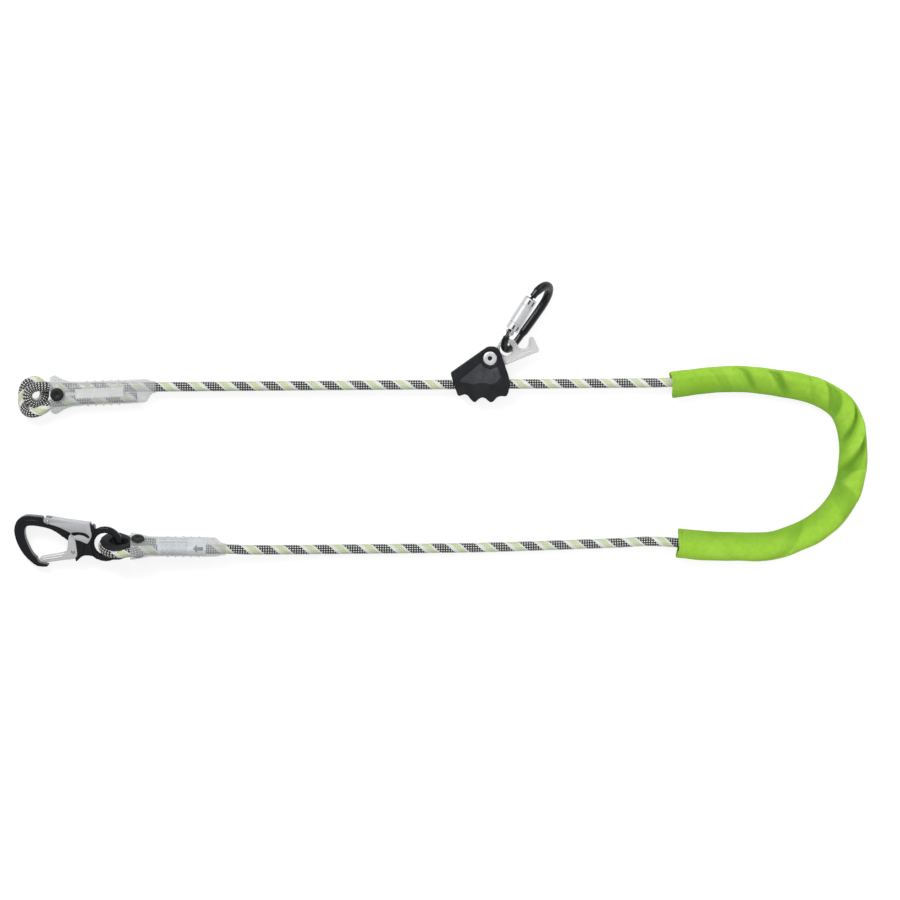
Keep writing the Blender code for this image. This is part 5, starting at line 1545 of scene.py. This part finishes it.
@dataclass
class Protector:
    """The lime woven tube that lies round the bend of the rope."""

    widths: tuple[float, ...] = (0.0340, 0.0340, 0.0352, 0.0366, 0.0372, 0.0366, 0.0374, 0.0384)
    inward: float = 0.0008
    height: float = 0.0250
    wall: float = 0.0011
    columns: int = 420
    rows: int = 84
    flat: tuple[float, float] = (0.094, 0.565)
    route: tuple[tuple[float, float], ...] = (
        (0.2846, 0.0508), (0.3338, 0.0570), (0.3688, 0.0585), (0.3950, 0.0566), (0.4225, 0.0529),
        (0.4475, 0.0485), (0.4733, 0.0401), (0.4975, 0.0241), (0.5094, 0.0006), (0.5135, -0.0271),
        (0.5121, -0.0549), (0.5046, -0.0840), (0.4895, -0.1084), (0.4688, -0.1271),
        (0.4454, -0.1396), (0.4094, -0.1513), (0.3631, -0.1519), (0.3294, -0.1510),
        (0.2924, -0.1476))
    crown_shift: float = 0.0060
    inner_fall: float = 0.45
    full_fold: float = 0.0060
    slack: float = 0.0008
    ripple: float = 0.00045
    ripple_turns: tuple[float, float] = (130.0, 47.0)
    ripple_around: float = 2.2
    last_share: float = 0.9999
    side_box: float = 0.88
    rise_box: float = 0.92
    depth_range: tuple[float, float] = (-0.12, 0.62)
    notch: float = 0.0034
    corner: float = 0.0012
    corner_power: int = 10
    mouth_fade: float = 0.006
    hem_share: float = 0.0135
    stitches: int = 30
    stitch_share: float = 0.62
    thread_radius: float = 0.00030
    thread_stand: float = 0.0001
    creases: tuple[Crease, ...] = (
        Crease(0.040, 0.064, 0.007, 0.0012), Crease(0.058, 0.080, 0.006, 0.0010, Fold.BACKWARD),
        Crease(0.068, 0.094, 0.006, 0.0014), Crease(0.122, 0.146, 0.006, 0.0016),
        Crease(0.162, 0.180, 0.007, 0.0013), Crease(0.300, 0.312, 0.007, 0.0012, Fold.BACKWARD),
        Crease(0.076, 0.100, 0.012, 0.0022), Crease(0.090, 0.112, 0.009, 0.0018, Fold.BACKWARD),
        Crease(0.110, 0.141, 0.013, 0.0038), Crease(0.132, 0.150, 0.010, 0.0028, Fold.BACKWARD),
        Crease(0.182, 0.207, 0.015, 0.0040), Crease(0.203, 0.234, 0.012, 0.0030, Fold.BACKWARD),
        Crease(0.216, 0.262, 0.015, 0.0040), Crease(0.232, 0.274, 0.012, 0.0024, Fold.BACKWARD),
        Crease(0.246, 0.302, 0.019, 0.0068, pinch=0.3), Crease(0.335, 0.318, 0.016, 0.0020),
        Crease(0.372, 0.352, 0.018, 0.0016, Fold.BACKWARD), Crease(0.440, 0.398, 0.018, 0.0020))

    @staticmethod
    def upper_share(sine: float) -> float:
        """How much of the creases shows: all on top, none below."""
        fade = 0.25
        return max(0.0, min(1.0, (sine + fade) / (fade * 2)))

    def crease_depth(self, along: float, cosine: float) -> float:
        """How far the cloth is pushed in by its creases.

        Args:
            along: Metres along the tube.
            cosine: From -1 at the outer edge to 1 at the inner edge.

        Returns:
            Metres inwards.
        """
        edge = abs(cosine) ** 3
        return sum(crease.push(along, cosine) * (1.0 - edge * (1.0 - (crease.pinch if cosine > 0 else 0.0)))
                   for crease in self.creases)

    def build(self) -> None:
        """The tube, and a row of stitches round each of its two mouths."""
        middle = self.height / 2 + FIT_GAP
        line = even(smooth_line([(x, y, middle) for x, y in self.route], steps=16), self.columns)
        length = length_of(line)
        course = Course(line)

        def place(share: float, around: float) -> Vector:
            """One vertex of the outer face.

            Args:
                share: Share of the tube's length.
                around: Share of a turn.

            Returns:
                Its place.
            """
            along = length * share
            angle = math.tau * around
            c, s = math.cos(angle), math.sin(angle)
            top = self.upper_share(s)
            sunk = self.crease_depth(along, c) * top
            fine, slow = self.ripple_turns
            ripple = math.sin(along * fine + self.ripple_around * angle) * math.sin(along * slow + 1.0)
            ripple *= self.ripple * top
            inset = self.slack + sunk - ripple
            cell = min(share, self.last_share) * (len(self.widths) - 1)
            low, high = self.widths[int(cell)], self.widths[int(cell) + 1]
            width = low + (high - low) * (cell - int(cell))
            side = (width / 2 - inset) * math.copysign(abs(c) ** self.side_box, c) + self.inward
            side -= self.crown_shift * max(0.0, s) ** 2
            rise = (self.height / 2 - (inset if s > 0 else 0.0)) * math.copysign(abs(s) ** self.rise_box, s)
            rise -= self.height / 2 * self.inner_fall * max(0.0, s) * max(0.0, c)
            mouth = min(along, length - along)
            drawn = self.notch * (1 - abs(c)) + self.corner * abs(c) ** self.corner_power
            drawn *= math.exp(-mouth / self.mouth_fade) * (1 if along < length / 2 else -1)
            ring = round(share * self.columns)
            ahead = course.line[min(ring + 1, self.columns)] - course.line[max(ring - 1, 0)]
            return course.at(share, side, rise) + ahead.normalized() * drawn

        work = formed(self.columns, self.rows, place, (length, self.flat[0]))
        self.mark_folds(work)
        bmesh.ops.recalc_face_normals(work, faces=work.faces)
        work = evaluated(work, [("SOLIDIFY", {"thickness": self.wall, "offset": -1.0})])
        cloth = finish_piece("rope_protector_cloth", work, "root", LIME, SMOOTH, ("rope_protector",),
                             outward=False)
        hems = [self.build_hem(label, share, course, place) for label, share in
                (("upper", self.hem_share), ("lower", 1.0 - self.hem_share))]

    def mark_folds(self, work: bmesh.types.BMesh) -> None:
        """Keep on each vertex how deep in a crease it lies, which the cloth's colour uses as painted shade.

        Args:
            work: The tube, charted in metres.
        """
        chart = work.loops.layers.uv.active
        depth = work.verts.layers.float.new(CREASE_SHADE_DEPTH)
        for face in work.faces:
            for loop in face.loops:
                along, across = loop[chart].uv
                angle = math.tau * across / self.flat[0]
                sunk = self.crease_depth(along, math.cos(angle)) * self.upper_share(math.sin(angle))
                least, most = self.depth_range
                loop.vert[depth] = max(least, min(most, sunk / self.full_fold))

    def build_hem(self, label: str, share: float, course: Course,
                  place: Callable[[float, float], Vector]) -> bpy.types.Object:
        """A row of stitches round a mouth.

        Args:
            label: Which mouth.
            share: Where the row lies along the tube.
            course: The tube's middle line.
            place: The tube's outer face.

        Returns:
            The row of stitches.
        """
        ring, steps = round(share * self.columns), 4
        strands = []
        for stitch in range(self.stitches):
            line = []
            for step in range(steps + 1):
                around = (stitch + self.stitch_share * step / steps) / self.stitches
                point = place(ring / self.columns, around)
                outwards = (point - course.line[ring]).normalized()
                line.append(point + outwards * self.thread_stand * (1 + math.sin(math.pi * step / steps)))
            strands.append(thread_tube(line, self.thread_radius, sides=5))
        return finish_piece(f"protector_hem_{label}", joined(strands), "root", HEM, SMOOTH)


# Hardware

def plate(outline: Sequence[Point], low: float, high: float, edge: float) -> bmesh.types.BMesh:
    """A flat plate between two heights, its rim rounded.

    Args:
        outline: Its corners, in the plane.
        low: Height of its lower face.
        high: Height of its upper face.
        edge: Radius of the rim.

    Returns:
        The closed plate.
    """
    work = bmesh.new()
    face = work.faces.new([work.verts.new((x, y, low)) for x, y in outline])
    grown = bmesh.ops.extrude_face_region(work, geom=[face])
    top = [item for item in grown["geom"] if isinstance(item, bmesh.types.BMVert)]
    bmesh.ops.translate(work, verts=top, vec=(0.0, 0.0, high - low))
    rim = [item for item in work.edges if abs(item.verts[0].co.z - high) < WELD
           and abs(item.verts[1].co.z - high) < WELD]
    bmesh.ops.bevel(work, geom=rim, offset=edge, segments=3, profile=0.5, affect="EDGES", material=-1)
    return work


def ball(radius: float, centre: Point) -> bmesh.types.BMesh:
    """A small round knob.

    Args:
        radius: The knob's radius.
        centre: Its middle.

    Returns:
        The knob.
    """
    work = bmesh.new()
    bmesh.ops.create_icosphere(work, subdivisions=3, radius=radius)
    bmesh.ops.translate(work, verts=work.verts, vec=centre)
    return work


@dataclass
class SnapHook:
    """The snap hook: forged frame, cast gate and pressed lock lever."""

    at: Vector = Vector((-0.4189, -0.1476, 0.0218))
    tilt: tuple[float, float, float] = (math.radians(12.0), math.radians(-6.2), 0.0)
    reach: float = 0.100
    gate_half: float = 0.0050
    frame_half: float = 0.0052
    frame_voxel: float = 0.00045
    gate_voxel: float = 0.00040
    bead_radius: float = 0.0008
    bead_sunk: float = 0.00045
    rib_radius: float = 0.0012
    rib_sunk: float = 0.0007
    plate_rounding: float = 0.00035
    rivet_rounding: float = 0.00025
    gate_rib: tuple[tuple[float, float], ...] = ((-0.786, -0.196), (-0.660, -0.176), (-0.530, -0.152))
    frame_line: tuple[tuple[float, float], ...] = (
        (-0.872, -0.236), (-0.962, -0.130), (-1.040, 0.000), (-1.074, 0.120), (-1.066, 0.220),
        (-1.010, 0.290), (-0.920, 0.308), (-0.820, 0.296))

    @property
    def frame(self) -> Matrix:
        """The hook's own place, its ring at the origin."""
        return Matrix.LocRotScale(self.at, Euler(self.tilt), None)

    def rib(self, shares: Sequence[tuple[float, float]], height: float, radius: float) -> bmesh.types.BMesh:
        """A low rounded rib on both faces.

        Args:
            shares: Its line, as shares of the hook's reach.
            height: How far its middle lies from the hook's own middle.
            radius: The rib's radius.

        Returns:
            The two ribs, in place.
        """
        sides = []
        for sign in (1, -1):
            known = [(x * self.reach, y * self.reach, sign * height) for x, y in shares]
            sides.append(thread_tube(smooth_line(known, steps=8), radius, sides=10))
        work = joined(sides)
        work.transform(self.frame)
        return work

    def build(self) -> None:
        """Smooth forgings over the CAD solids, and finishes on the small pieces."""
        forging = forged(node_copy("hook_frame"), self.frame_voxel, passes=6)
        finish_piece("hook_frame_forging", forging, "hook", BLACK_ALLOY, SMOOTH, ("hook_frame",),
                     outward=False)
        bead = self.rib(self.frame_line, self.frame_half - self.bead_sunk, self.bead_radius)
        finish_piece("hook_frame_bead", bead, "hook", BLACK_ALLOY, SMOOTH)
        casting = forged(node_copy("hook_gate"), self.gate_voxel, passes=5)
        finish_piece("hook_gate_casting", casting, "hook_gate", CAST_ALLOY, SMOOTH, ("hook_gate",),
                     outward=False)
        rib = self.rib(self.gate_rib, self.gate_half - self.rib_sunk, self.rib_radius)
        finish_piece("hook_gate_rib", rib, "hook_gate", CAST_ALLOY, SMOOTH)
        finish_piece("hook_lever_plates", softened(node_copy("hook_lever"), self.plate_rounding),
                     "hook_lever", PRESSED_ALLOY, TURNED, ("hook_lever",))
        for node in ("hook_gate_rivet", "hook_lever_rivet"):
            finish_piece(node + "_turned", softened(node_copy(node), self.rivet_rounding), "hook", STEEL,
                         replaced=(node,))


@dataclass
class CamAdjuster:
    """The cam adjuster: two moulded grips, steel plates, the cast cam and its pivot."""

    at: Point = (0.0599, 0.051143, 0.0135)
    yaw: float = math.radians(0.46)
    roll: float = math.radians(3.0)
    pivot_rise: float = 0.0325
    grip_reach: float = 0.050
    cam_reach: float = 0.060
    grip_face: float = 0.0103
    head_radius: float = 0.0085
    head_height: float = 0.0019
    recess_radius: float = 0.0118
    dish_lip: float = 0.0010
    arm_half: float = 0.00275
    hole_radius: float = 0.0079
    hole_shares: tuple[float, float] = (0.340, 0.180)
    grip_voxel: float = 0.00050
    cam_voxel: float = 0.00042
    recess_depth: float = 0.0006
    panel_height: float = 0.00035
    panel_rounding: float = 0.0001
    bead_radius: float = 0.00030
    nut_reach: float = 0.0019
    shank_radius: float = 0.0040
    head_shares: tuple[tuple[float, float], ...] = ((0.74, 0.0), (0.86, 1.5), (0.95, 5.0), (1.0, 10.0))
    bowl_shares: tuple[tuple[float, float], ...] = ((0.4, -0.2), (1.0, 0.2))
    rim_shares: tuple[tuple[float, float], ...] = ((-0.6, 0.3), (0.0, 0.9), (0.9, 0.8), (1.0, -0.2))
    socket_share: float = 0.36
    socket_lip: float = 1.12
    socket_fit: float = 0.98
    socket_depth: float = 0.0013
    socket_floor: float = 0.0004
    edge_round: float = 0.0001
    rib_radius: float = 0.00075
    lip_radius: float = 0.0008
    lip_out_share: float = 1.25
    rib_sunk: float = 0.00025
    panel: tuple[tuple[float, float], ...] = (
        (-0.230, -0.120), (-0.620, -0.435), (-0.760, -0.560), (-0.560, -0.600), (-0.420, -0.640),
        (-0.280, -0.600), (-0.120, -0.600), (0.000, -0.640), (0.140, -0.600), (0.262, -0.455),
        (0.180, -0.215), (0.000, -0.285))
    cam_lines: tuple[tuple[tuple[float, float], ...], ...] = (
        ((0.330, -0.112), (0.640, 0.014), (0.945, 0.132)),
        ((0.340, -0.066), (0.640, 0.056), (0.900, 0.158)))
    tail_line: tuple[tuple[float, float], ...] = (
        (0.560, 0.230), (0.610, 0.172), (0.690, 0.150), (0.780, 0.178), (0.838, 0.262), (0.862, 0.380))

    @property
    def frame(self) -> Matrix:
        """The adjuster's place, its pivot at the origin."""
        turn = Matrix.Rotation(self.yaw, 4, "Z") @ Matrix.Rotation(self.roll, 4, "X")
        return Matrix.Translation(self.at) @ turn @ Matrix.Translation((0.0, self.pivot_rise, 0.0))

    def build_panel(self) -> None:
        """The textured panel in the front grip's recess, and the thin bead round it."""
        outline = [(x * self.grip_reach, y * self.grip_reach) for x, y in self.panel]
        low = self.grip_face - self.recess_depth
        face = plate(outline, low, low + self.panel_height, self.panel_rounding)
        face.transform(self.frame)
        finish_piece("grip_front_panel", face, "adjuster", PANEL_PLASTIC, MOULDED)
        bead_at = low + self.panel_height + self.panel_rounding / 2
        line = [Vector((x, y, bead_at)) for x, y in outline + outline[:1]]
        bead = thread_tube(even(line, count=160), self.bead_radius, sides=8)
        bead.transform(self.frame)
        finish_piece("grip_front_bead", bead, "adjuster", RUBBED_PLASTIC, SMOOTH)

    def build_bolt(self) -> None:
        """The bright bolt head, its hexagonal socket shown as a near-black disc of painted shade, in a dark
        dished ring.
        """
        face = self.grip_face - self.recess_depth + FIT_GAP
        top, foot = face + self.head_height, -face - self.nut_reach
        radius, small = self.head_radius, self.edge_round
        pocket = radius * self.socket_share
        head = [(radius * out, top - small * drop) for out, drop in self.head_shares]
        profile = [(pocket, top - self.socket_depth), (pocket, top - small), (pocket * self.socket_lip, top),
                   *head, (radius, face), (self.shank_radius, face), (self.shank_radius, foot), (0.0, foot)]
        work = turned(profile, steps=48)
        work.transform(self.frame)
        finish_piece("pivot_bolt_turned", work, "adjuster", SATIN_ALLOY, TURNED, ("pivot_bolt",))
        # Painted shade: a near-black hexagonal disc at the pocket's floor stands for the shade in the socket.
        socket = bmesh.new()
        inset = pocket * self.socket_fit
        bmesh.ops.create_cone(socket, cap_ends=True, segments=6, radius1=inset, radius2=inset,
                              depth=self.socket_floor)
        sunk = top - self.socket_depth + self.socket_floor
        socket.transform(self.frame @ Matrix.Translation((0.0, 0.0, sunk)))
        finish_piece("pivot_bolt_socket", socket, "adjuster", SOCKET_SHADE, TURNED)
        lip = self.dish_lip
        bowl = [(radius + lip * out, face + lip * rise) for out, rise in self.bowl_shares]
        rim = [(self.recess_radius + lip * out, face + lip * rise) for out, rise in self.rim_shares]
        dish = turned([*bowl, *rim, bowl[0]], steps=64)
        dish.transform(self.frame)
        finish_piece("pivot_dish", dish, "adjuster", BLACK_PLASTIC, MOULDED)

    def build_cam(self) -> None:
        """The cast cam, with its ribs, tail line and the rounded lip of the hole."""
        finish_piece("cam_casting", forged(node_copy("cam"), self.cam_voxel, passes=5), "cam",
                     CAST_ALLOY, SMOOTH, ("cam",), outward=False)
        reach, steps = self.cam_reach, 48
        lines = [*((line, self.rib_radius) for line in self.cam_lines), (self.tail_line, self.lip_radius)]
        shapes = []
        for sign in (1, -1):
            height = sign * (self.arm_half - self.rib_sunk)
            for shares, radius in lines:
                line = smooth_line([(x * reach, y * reach, height) for x, y in shares], steps=10)
                shapes.append(thread_tube(line, radius, sides=10))
            middle = Vector((self.hole_shares[0] * reach, self.hole_shares[1] * reach, height))
            around = self.hole_radius + self.lip_radius * self.lip_out_share
            lip = [middle + Vector((math.cos(a), math.sin(a), 0.0)) * around
                   for a in (math.tau * k / steps for k in range(steps + 1))]
            shapes.append(thread_tube(lip, self.lip_radius, sides=10))
        ribs = joined(shapes)
        ribs.transform(self.frame)
        finish_piece("cam_ribs", ribs, "cam", CAST_ALLOY, SMOOTH)

    def build(self) -> None:
        """Soft-edged mouldings and a smooth casting over the CAD solids."""
        for side in ("front", "back"):
            moulding = forged(node_copy("grip_" + side), self.grip_voxel, passes=18)
            finish_piece(f"grip_{side}_moulding", moulding, "adjuster", BLACK_PLASTIC, SMOOTH,
                         ("grip_" + side,), outward=False)
        self.build_panel()
        self.build_bolt()
        self.build_cam()


@dataclass
class Carabiner:
    """The locking carabiner: forged bow, gate, and the silver sleeve that turns over it."""

    at: Point = (0.0810, 0.0881, 0.0053)
    spine: Point = (0.588, 0.809, 0.0)
    root: Vector = Vector((0.024, 0.031, 0.0))
    top: Vector = Vector((0.070, 0.038, 0.0))
    lean: float = math.radians(65.0)
    start: float = 0.0040
    length: float = 0.0455
    skin: float = 0.00862
    bore: float = 0.00732
    clear_of_gate: float = 0.0095
    clear_of_hole: float = 0.030
    clear_of_ends: float = 0.006
    above_gate: float = 0.004
    swell: float = 0.0011
    voxel: float = 0.00045
    ring_share: float = 0.20
    step: float = 0.00065
    end_shares: tuple[tuple[float, float], ...] = ((1.4, 0.0), (0.4, 1.0))
    groove_shares: tuple[tuple[float, float], ...] = ((0.4, 0.0), (1.6, 0.4), (1.6, 1.6), (0.0, 2.2))
    slot_share: float = 0.32
    slot_edge_share: float = 0.6
    slot_half: float = 0.0011
    slot_depth: float = 0.0004
    slot_stand: float = 0.00005
    knob_radius: float = 0.0016
    slot_turns: tuple[float, ...] = (-62.0, -22.0, 118.0, 158.0)
    knob_turns: tuple[float, float] = (168.0, -12.0)

    @property
    def frame(self) -> Matrix:
        """The carabiner's place, leaning on its spine.

        Returns:
            The matrix from its own plane, with X along the spine.
        """
        axis = Vector(self.spine).normalized()
        level = Vector((-axis.y, axis.x, 0.0))
        up = level * math.cos(self.lean) + Vector((0.0, 0.0, 1.0)) * math.sin(self.lean)
        turn = Matrix((axis, up, axis.cross(up))).transposed().to_4x4()
        return Matrix.Translation(self.at) @ turn

    @property
    def gate_frame(self) -> Matrix:
        """The gate's line, with Z along it.

        Returns:
            The matrix from that line.
        """
        line = self.top - self.root
        return (self.frame @ Matrix.Translation(self.root)
                @ Matrix.Rotation(math.atan2(line.y, line.x), 4, "Z") @ Matrix.Rotation(math.pi / 2, 4, "Y"))

    def build_bow(self) -> None:
        """The forged bow, a little fuller away from the gate."""
        work = forged(node_copy("carabiner_frame"), self.voxel, passes=8)
        work.normal_update()
        inverse, level = self.gate_frame.inverted(), self.frame.inverted()
        long = (self.top - self.root).length
        for vert in work.verts:
            here = inverse @ vert.co
            beside = math.hypot(here.x, here.y)
            beyond = max(0.0, -here.z, here.z - long - self.above_gate)
            room = min(max(beside - self.clear_of_gate, beyond - self.clear_of_ends),
                       (level @ vert.co).x - self.clear_of_hole)
            vert.co += vert.normal * self.swell * max(0.0, min(1.0, room / self.clear_of_ends))
        finish_piece("carabiner_bow_forging", work, "carabiner", BLACK_ALLOY, SMOOTH, ("carabiner_frame",),
                     outward=False)

    def build_sleeve(self) -> None:
        """The silver sleeve: a satin barrel between two bright rings, slots at both ends drawn as dark grey
        plates of painted shade, and knobs.
        """
        begin, end = self.start, self.start + self.length
        skin, ring, step = self.skin, self.length * self.ring_share, self.step
        half = [(skin - step * drop, step * along) for drop, along in self.end_shares]
        ring_face = half[-1][0]
        half += [(skin - step * drop, ring + step * along) for drop, along in self.groove_shares]
        outside = [(r, begin + h) for r, h in half] + [(r, end - h) for r, h in reversed(half)]
        work = turned(outside + [(self.bore, end), (self.bore, begin), outside[0]], steps=96)
        work.transform(self.gate_frame)
        body = "locking_sleeve"
        finish_piece(body + "_turned", work, body, SATIN_ALLOY, TURNED, (body,))
        slots, knobs = [], []
        long, wide = ring * self.slot_share, self.slot_half
        outline = [(-long, -wide), (long, -wide), (long, wide), (-long, wide)]
        # Painted shade: each slot is a dark grey plate lying in the ring face.
        for at in (begin + ring * 0.5, end - ring * 0.5):
            for around in self.slot_turns:
                shape = plate(outline, -self.slot_depth, self.slot_stand,
                              self.slot_stand * self.slot_edge_share)
                shape.transform(Matrix.Rotation(math.radians(around), 4, "Z")
                                @ Matrix.Translation((ring_face, 0.0, at))
                                @ Matrix.Rotation(math.pi / 2, 4, "Y"))
                slots.append(shape)
        for at, around in zip((begin + self.knob_radius, end - self.knob_radius), self.knob_turns):
            angle = math.radians(around)
            knobs.append(ball(self.knob_radius, (math.cos(angle) * skin, math.sin(angle) * skin, at)))
        for name, shapes, finish in (("_slots", slots, SLOT_SHADE), ("_knobs", knobs, SATIN_ALLOY)):
            detail = joined(shapes)
            detail.transform(self.gate_frame)
            finish_piece(body + name, detail, body, finish)

    def build(self) -> None:
        """The bow and the sleeve."""
        self.build_bow()
        self.build_sleeve()


# Studio

@dataclass(frozen=True)
class Lamp:
    """One soft lamp: where it stands, what it faces, its side and its power."""

    name: str
    at: Point
    aim: Point
    side: float
    power: float

    def build(self) -> None:
        """An area lamp that the camera doesn't see."""
        light = bpy.data.lights.new(self.name, "AREA")
        light.size = self.side
        light.energy = self.power
        holder = bpy.data.objects.new(self.name, light)
        holder.location = self.at
        holder.visible_camera = False
        holder.rotation_euler = (Vector(self.aim) - Vector(self.at)).to_track_quat("-Z", "Y").to_euler()
        bpy.context.scene.collection.objects.link(holder)


@dataclass
class Studio:
    """Plain white ground, soft light and the camera above the model."""

    frame_width: float = 1.125
    centre: Vector = Vector((0.010, -0.0309, 0.0))
    camera_height: float = 5.0
    ground_half: float = 4.0
    paper: tuple[float, float, float, float] = (0.28, 0.281, 0.283, 1.0)
    paper_glow: float = 0.80
    horizon_light: float = 0.12
    zenith_light: float = 0.76
    dome_fall: float = 1.4
    lamps: tuple[Lamp, ...] = (
        Lamp("key", (-1.1, 1.3, 1.8), (-0.1, 0.0, 0.0), 0.9, 34.0),
        Lamp("upper strip", (0.42, 0.66, 0.34), (0.36, 0.06, 0.0), 0.5, 1.9),
        Lamp("side strip", (1.12, 0.02, 0.34), (0.50, -0.03, 0.0), 0.5, 1.9),
        Lamp("lower strip", (0.36, -0.76, 0.34), (0.32, -0.15, 0.0), 0.5, 1.9))

    def build_camera(self) -> None:
        """A camera that looks straight down, 1.25 mm to the pixel at the ground."""
        lens = bpy.data.cameras.new("camera")
        lens.angle = 2 * math.atan(self.frame_width / 2 / self.camera_height)
        lens.clip_end = self.camera_height * 4
        camera = bpy.data.objects.new("camera", lens)
        camera.location = self.centre + Vector((0.0, 0.0, self.camera_height))
        bpy.context.scene.collection.objects.link(camera)
        bpy.context.scene.camera = camera

    def build_ground(self) -> None:
        """A white floor that keeps the model's soft shadow."""
        work = bmesh.new()
        bmesh.ops.create_grid(work, x_segments=8, y_segments=8, size=self.ground_half)
        mesh = bpy.data.meshes.new("ground")
        work.to_mesh(mesh)
        work.free()
        ground = bpy.data.objects.new("ground", mesh)
        bpy.context.scene.collection.objects.link(ground)
        material = bpy.data.materials.new("ground_paper")
        material.use_nodes = True
        material.node_tree.nodes.clear()
        net = Net(material.node_tree)
        paper = net.add("BsdfDiffuse")
        paper.inputs["Color"].default_value = self.paper
        glow = net.add("Emission")
        path = net.add("LightPath")
        seen = net.math("MAXIMUM", path.outputs["Is Camera Ray"], path.outputs["Is Glossy Ray"])
        seen = net.math("MAXIMUM", seen, path.outputs["Is Transmission Ray"])
        net.put(glow.inputs["Strength"], net.times(seen, self.paper_glow))
        both = net.add("AddShader")
        net.tree.links.new(paper.outputs[0], both.inputs[0])
        net.tree.links.new(glow.outputs[0], both.inputs[1])
        output = net.add("OutputMaterial")
        net.tree.links.new(both.outputs[0], output.inputs[0])
        mesh.materials.append(material)

    def build_light(self) -> None:
        """A white room, brightest overhead, with a key lamp and three low strips beside the sleeve."""
        world = bpy.data.worlds.new("room")
        bpy.context.scene.world = world
        world.use_nodes = True
        world.node_tree.nodes.clear()
        net = Net(world.node_tree)
        room = net.add("Background")
        room.inputs["Color"].default_value = (1.0, 1.0, 1.0, 1.0)
        path = net.add("LightPath")
        seen = net.math("MAXIMUM", path.outputs["Is Camera Ray"], path.outputs["Is Transmission Ray"])
        height = net.split(net.add("TexCoord").outputs["Generated"])[2]
        overhead = net.math("POWER", net.math("MAXIMUM", height, 0.0), self.dome_fall)
        dome = net.lerp(overhead, self.horizon_light, self.zenith_light)
        net.put(room.inputs["Strength"], net.lerp(seen, dome, 1.0))
        output = net.tree.nodes.new("ShaderNodeOutputWorld")
        net.tree.links.new(room.outputs[0], output.inputs[0])
        for lamp in self.lamps:
            lamp.build()

    def build(self) -> None:
        """Camera, ground, light and the plain view transform."""
        self.build_camera()
        self.build_ground()
        self.build_light()
        bpy.context.scene.view_settings.view_transform = "Standard"


# The upper eye's route in rope diameters about its hole, and the lower eye's legs beside the thimble
UPPER_EYE = tuple((u * ROPE_DIAMETER, v * ROPE_DIAMETER, w * ROPE_DIAMETER) for u, v, w in (
    (2.01, 0.78, 0.02), (1.56, 0.86, 0.16), (1.11, 0.93, 0.47), (0.63, 0.94, 0.60),
    (0.13, 0.89, 0.60), (-0.34, 0.73, 0.55), (-0.69, 0.40, 0.48), (-0.82, -0.06, 0.39),
    (-0.67, -0.49, 0.23), (-0.32, -0.75, 0.02), (0.13, -0.78, -0.18), (0.54, -0.57, -0.33),
    (0.81, -0.17, -0.43), (0.88, 0.32, -0.49), (0.77, 0.81, -0.51), (0.52, 1.23, -0.48),
    (0.13, 1.53, -0.45), (-0.34, 1.58, -0.46), (-0.76, 1.42, -0.47), (-1.09, 1.10, -0.50),
    (-1.28, 0.70, -0.51), (-1.36, 0.26, -0.51), (-1.39, -0.20, -0.50), (-1.41, -0.65, -0.44),
    (-1.33, -1.11, -0.32), (-1.10, -1.49, -0.11), (-0.72, -1.72, 0.11), (-0.25, -1.78, 0.27),
    (0.25, -1.68, 0.35), (0.71, -1.48, 0.36), (1.13, -1.21, 0.28), (1.55, -0.96, 0.18),
    (2.00, -0.79, 0.05)))
LOWER_SHOULDER = ((0.50, 1.28), (1.00, 1.20), (1.50, 1.05), (2.00, 0.87))


def lower_turns() -> list[Point]:
    """The lower eye's own route: back along the shoulder, round the thimble's groove, and away.

    Returns:
        Its points about the thimble's middle.
    """
    groove = THIMBLE_BORE + THIMBLE_WALL + ROPE_RADIUS + FIT_GAP
    steps = 18
    bow = [(groove * math.cos(a), -groove * math.sin(a), 0.0)
           for a in (math.pi / 2 + math.pi * k / steps for k in range(steps + 1))]
    away = [(u * ROPE_DIAMETER, v * ROPE_DIAMETER, 0.0) for u, v in LOWER_SHOULDER]
    return [(u, -v, w) for u, v, w in reversed(away)] + bow + away


SMALL_METAL = {"hook_gate_spring": STEEL, "hook_lever_spring": STEEL, "side_plate_front": SATIN_ALLOY,
               "side_plate_back": SATIN_ALLOY, "rope_anvil": STEEL, "anvil_rivet_left": STEEL,
               "anvil_rivet_right": STEEL, "pivot_nut": SATIN_ALLOY, "cam_bush": STEEL,
               "cam_spring": STEEL, "carabiner_gate_pin": STEEL, "carabiner_gate": SATIN_ALLOY,
               "sleeve_guide": STEEL, "sleeve_spring": STEEL, "stitching_upper": THREAD,
               "stitching_lower": THREAD}


def dress_small_pieces() -> None:
    """Give each CAD node that stays its finish."""
    for node, finish in SMALL_METAL.items():
        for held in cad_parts[node].material_slots:
            held.material = finish.material()
        log.info("%s keeps its solid", node)


def main() -> None:
    """Build the studio, then each sub-assembly."""
    Studio().build()
    rope = Rope()
    rope.build_run()
    upper = SewnEnd("upper", at=Vector((-0.5065, 0.03675, 0.0135)),
                    turn=Euler((0.0, 0.0, math.radians(2.5))),
                    length=0.1500, tail_end=0.1260, join_at=0.1120, side=1)
    lower = SewnEnd("lower", at=Vector((-0.4062, -0.1504, 0.0232)),
                    turn=Euler((math.radians(-55.0), math.radians(4.0), math.radians(-0.6))),
                    length=0.1370, tail_end=0.1120, join_at=0.1000, side=-1)
    yarn = ROPE.pitch / rope.sides
    upper.build_eye(rope, UPPER_EYE, phase=yarn * 10, facing=(2, 13))
    lower.build_eye(rope, lower_turns(), phase=yarn * 18)
    for end in (upper, lower):
        end.build_cover()
        end.build_plug()
        end.build_seam()
        log.info("sewn end %s", end.label)
    PrintedLabel(lower).build()
    Thimble().build()
    for part in (Protector(), SnapHook(), CamAdjuster(), Carabiner()):
        part.build()
        log.info("%s done", type(part).__name__)
    dress_small_pieces()


if __name__ == "__main__":
    main()
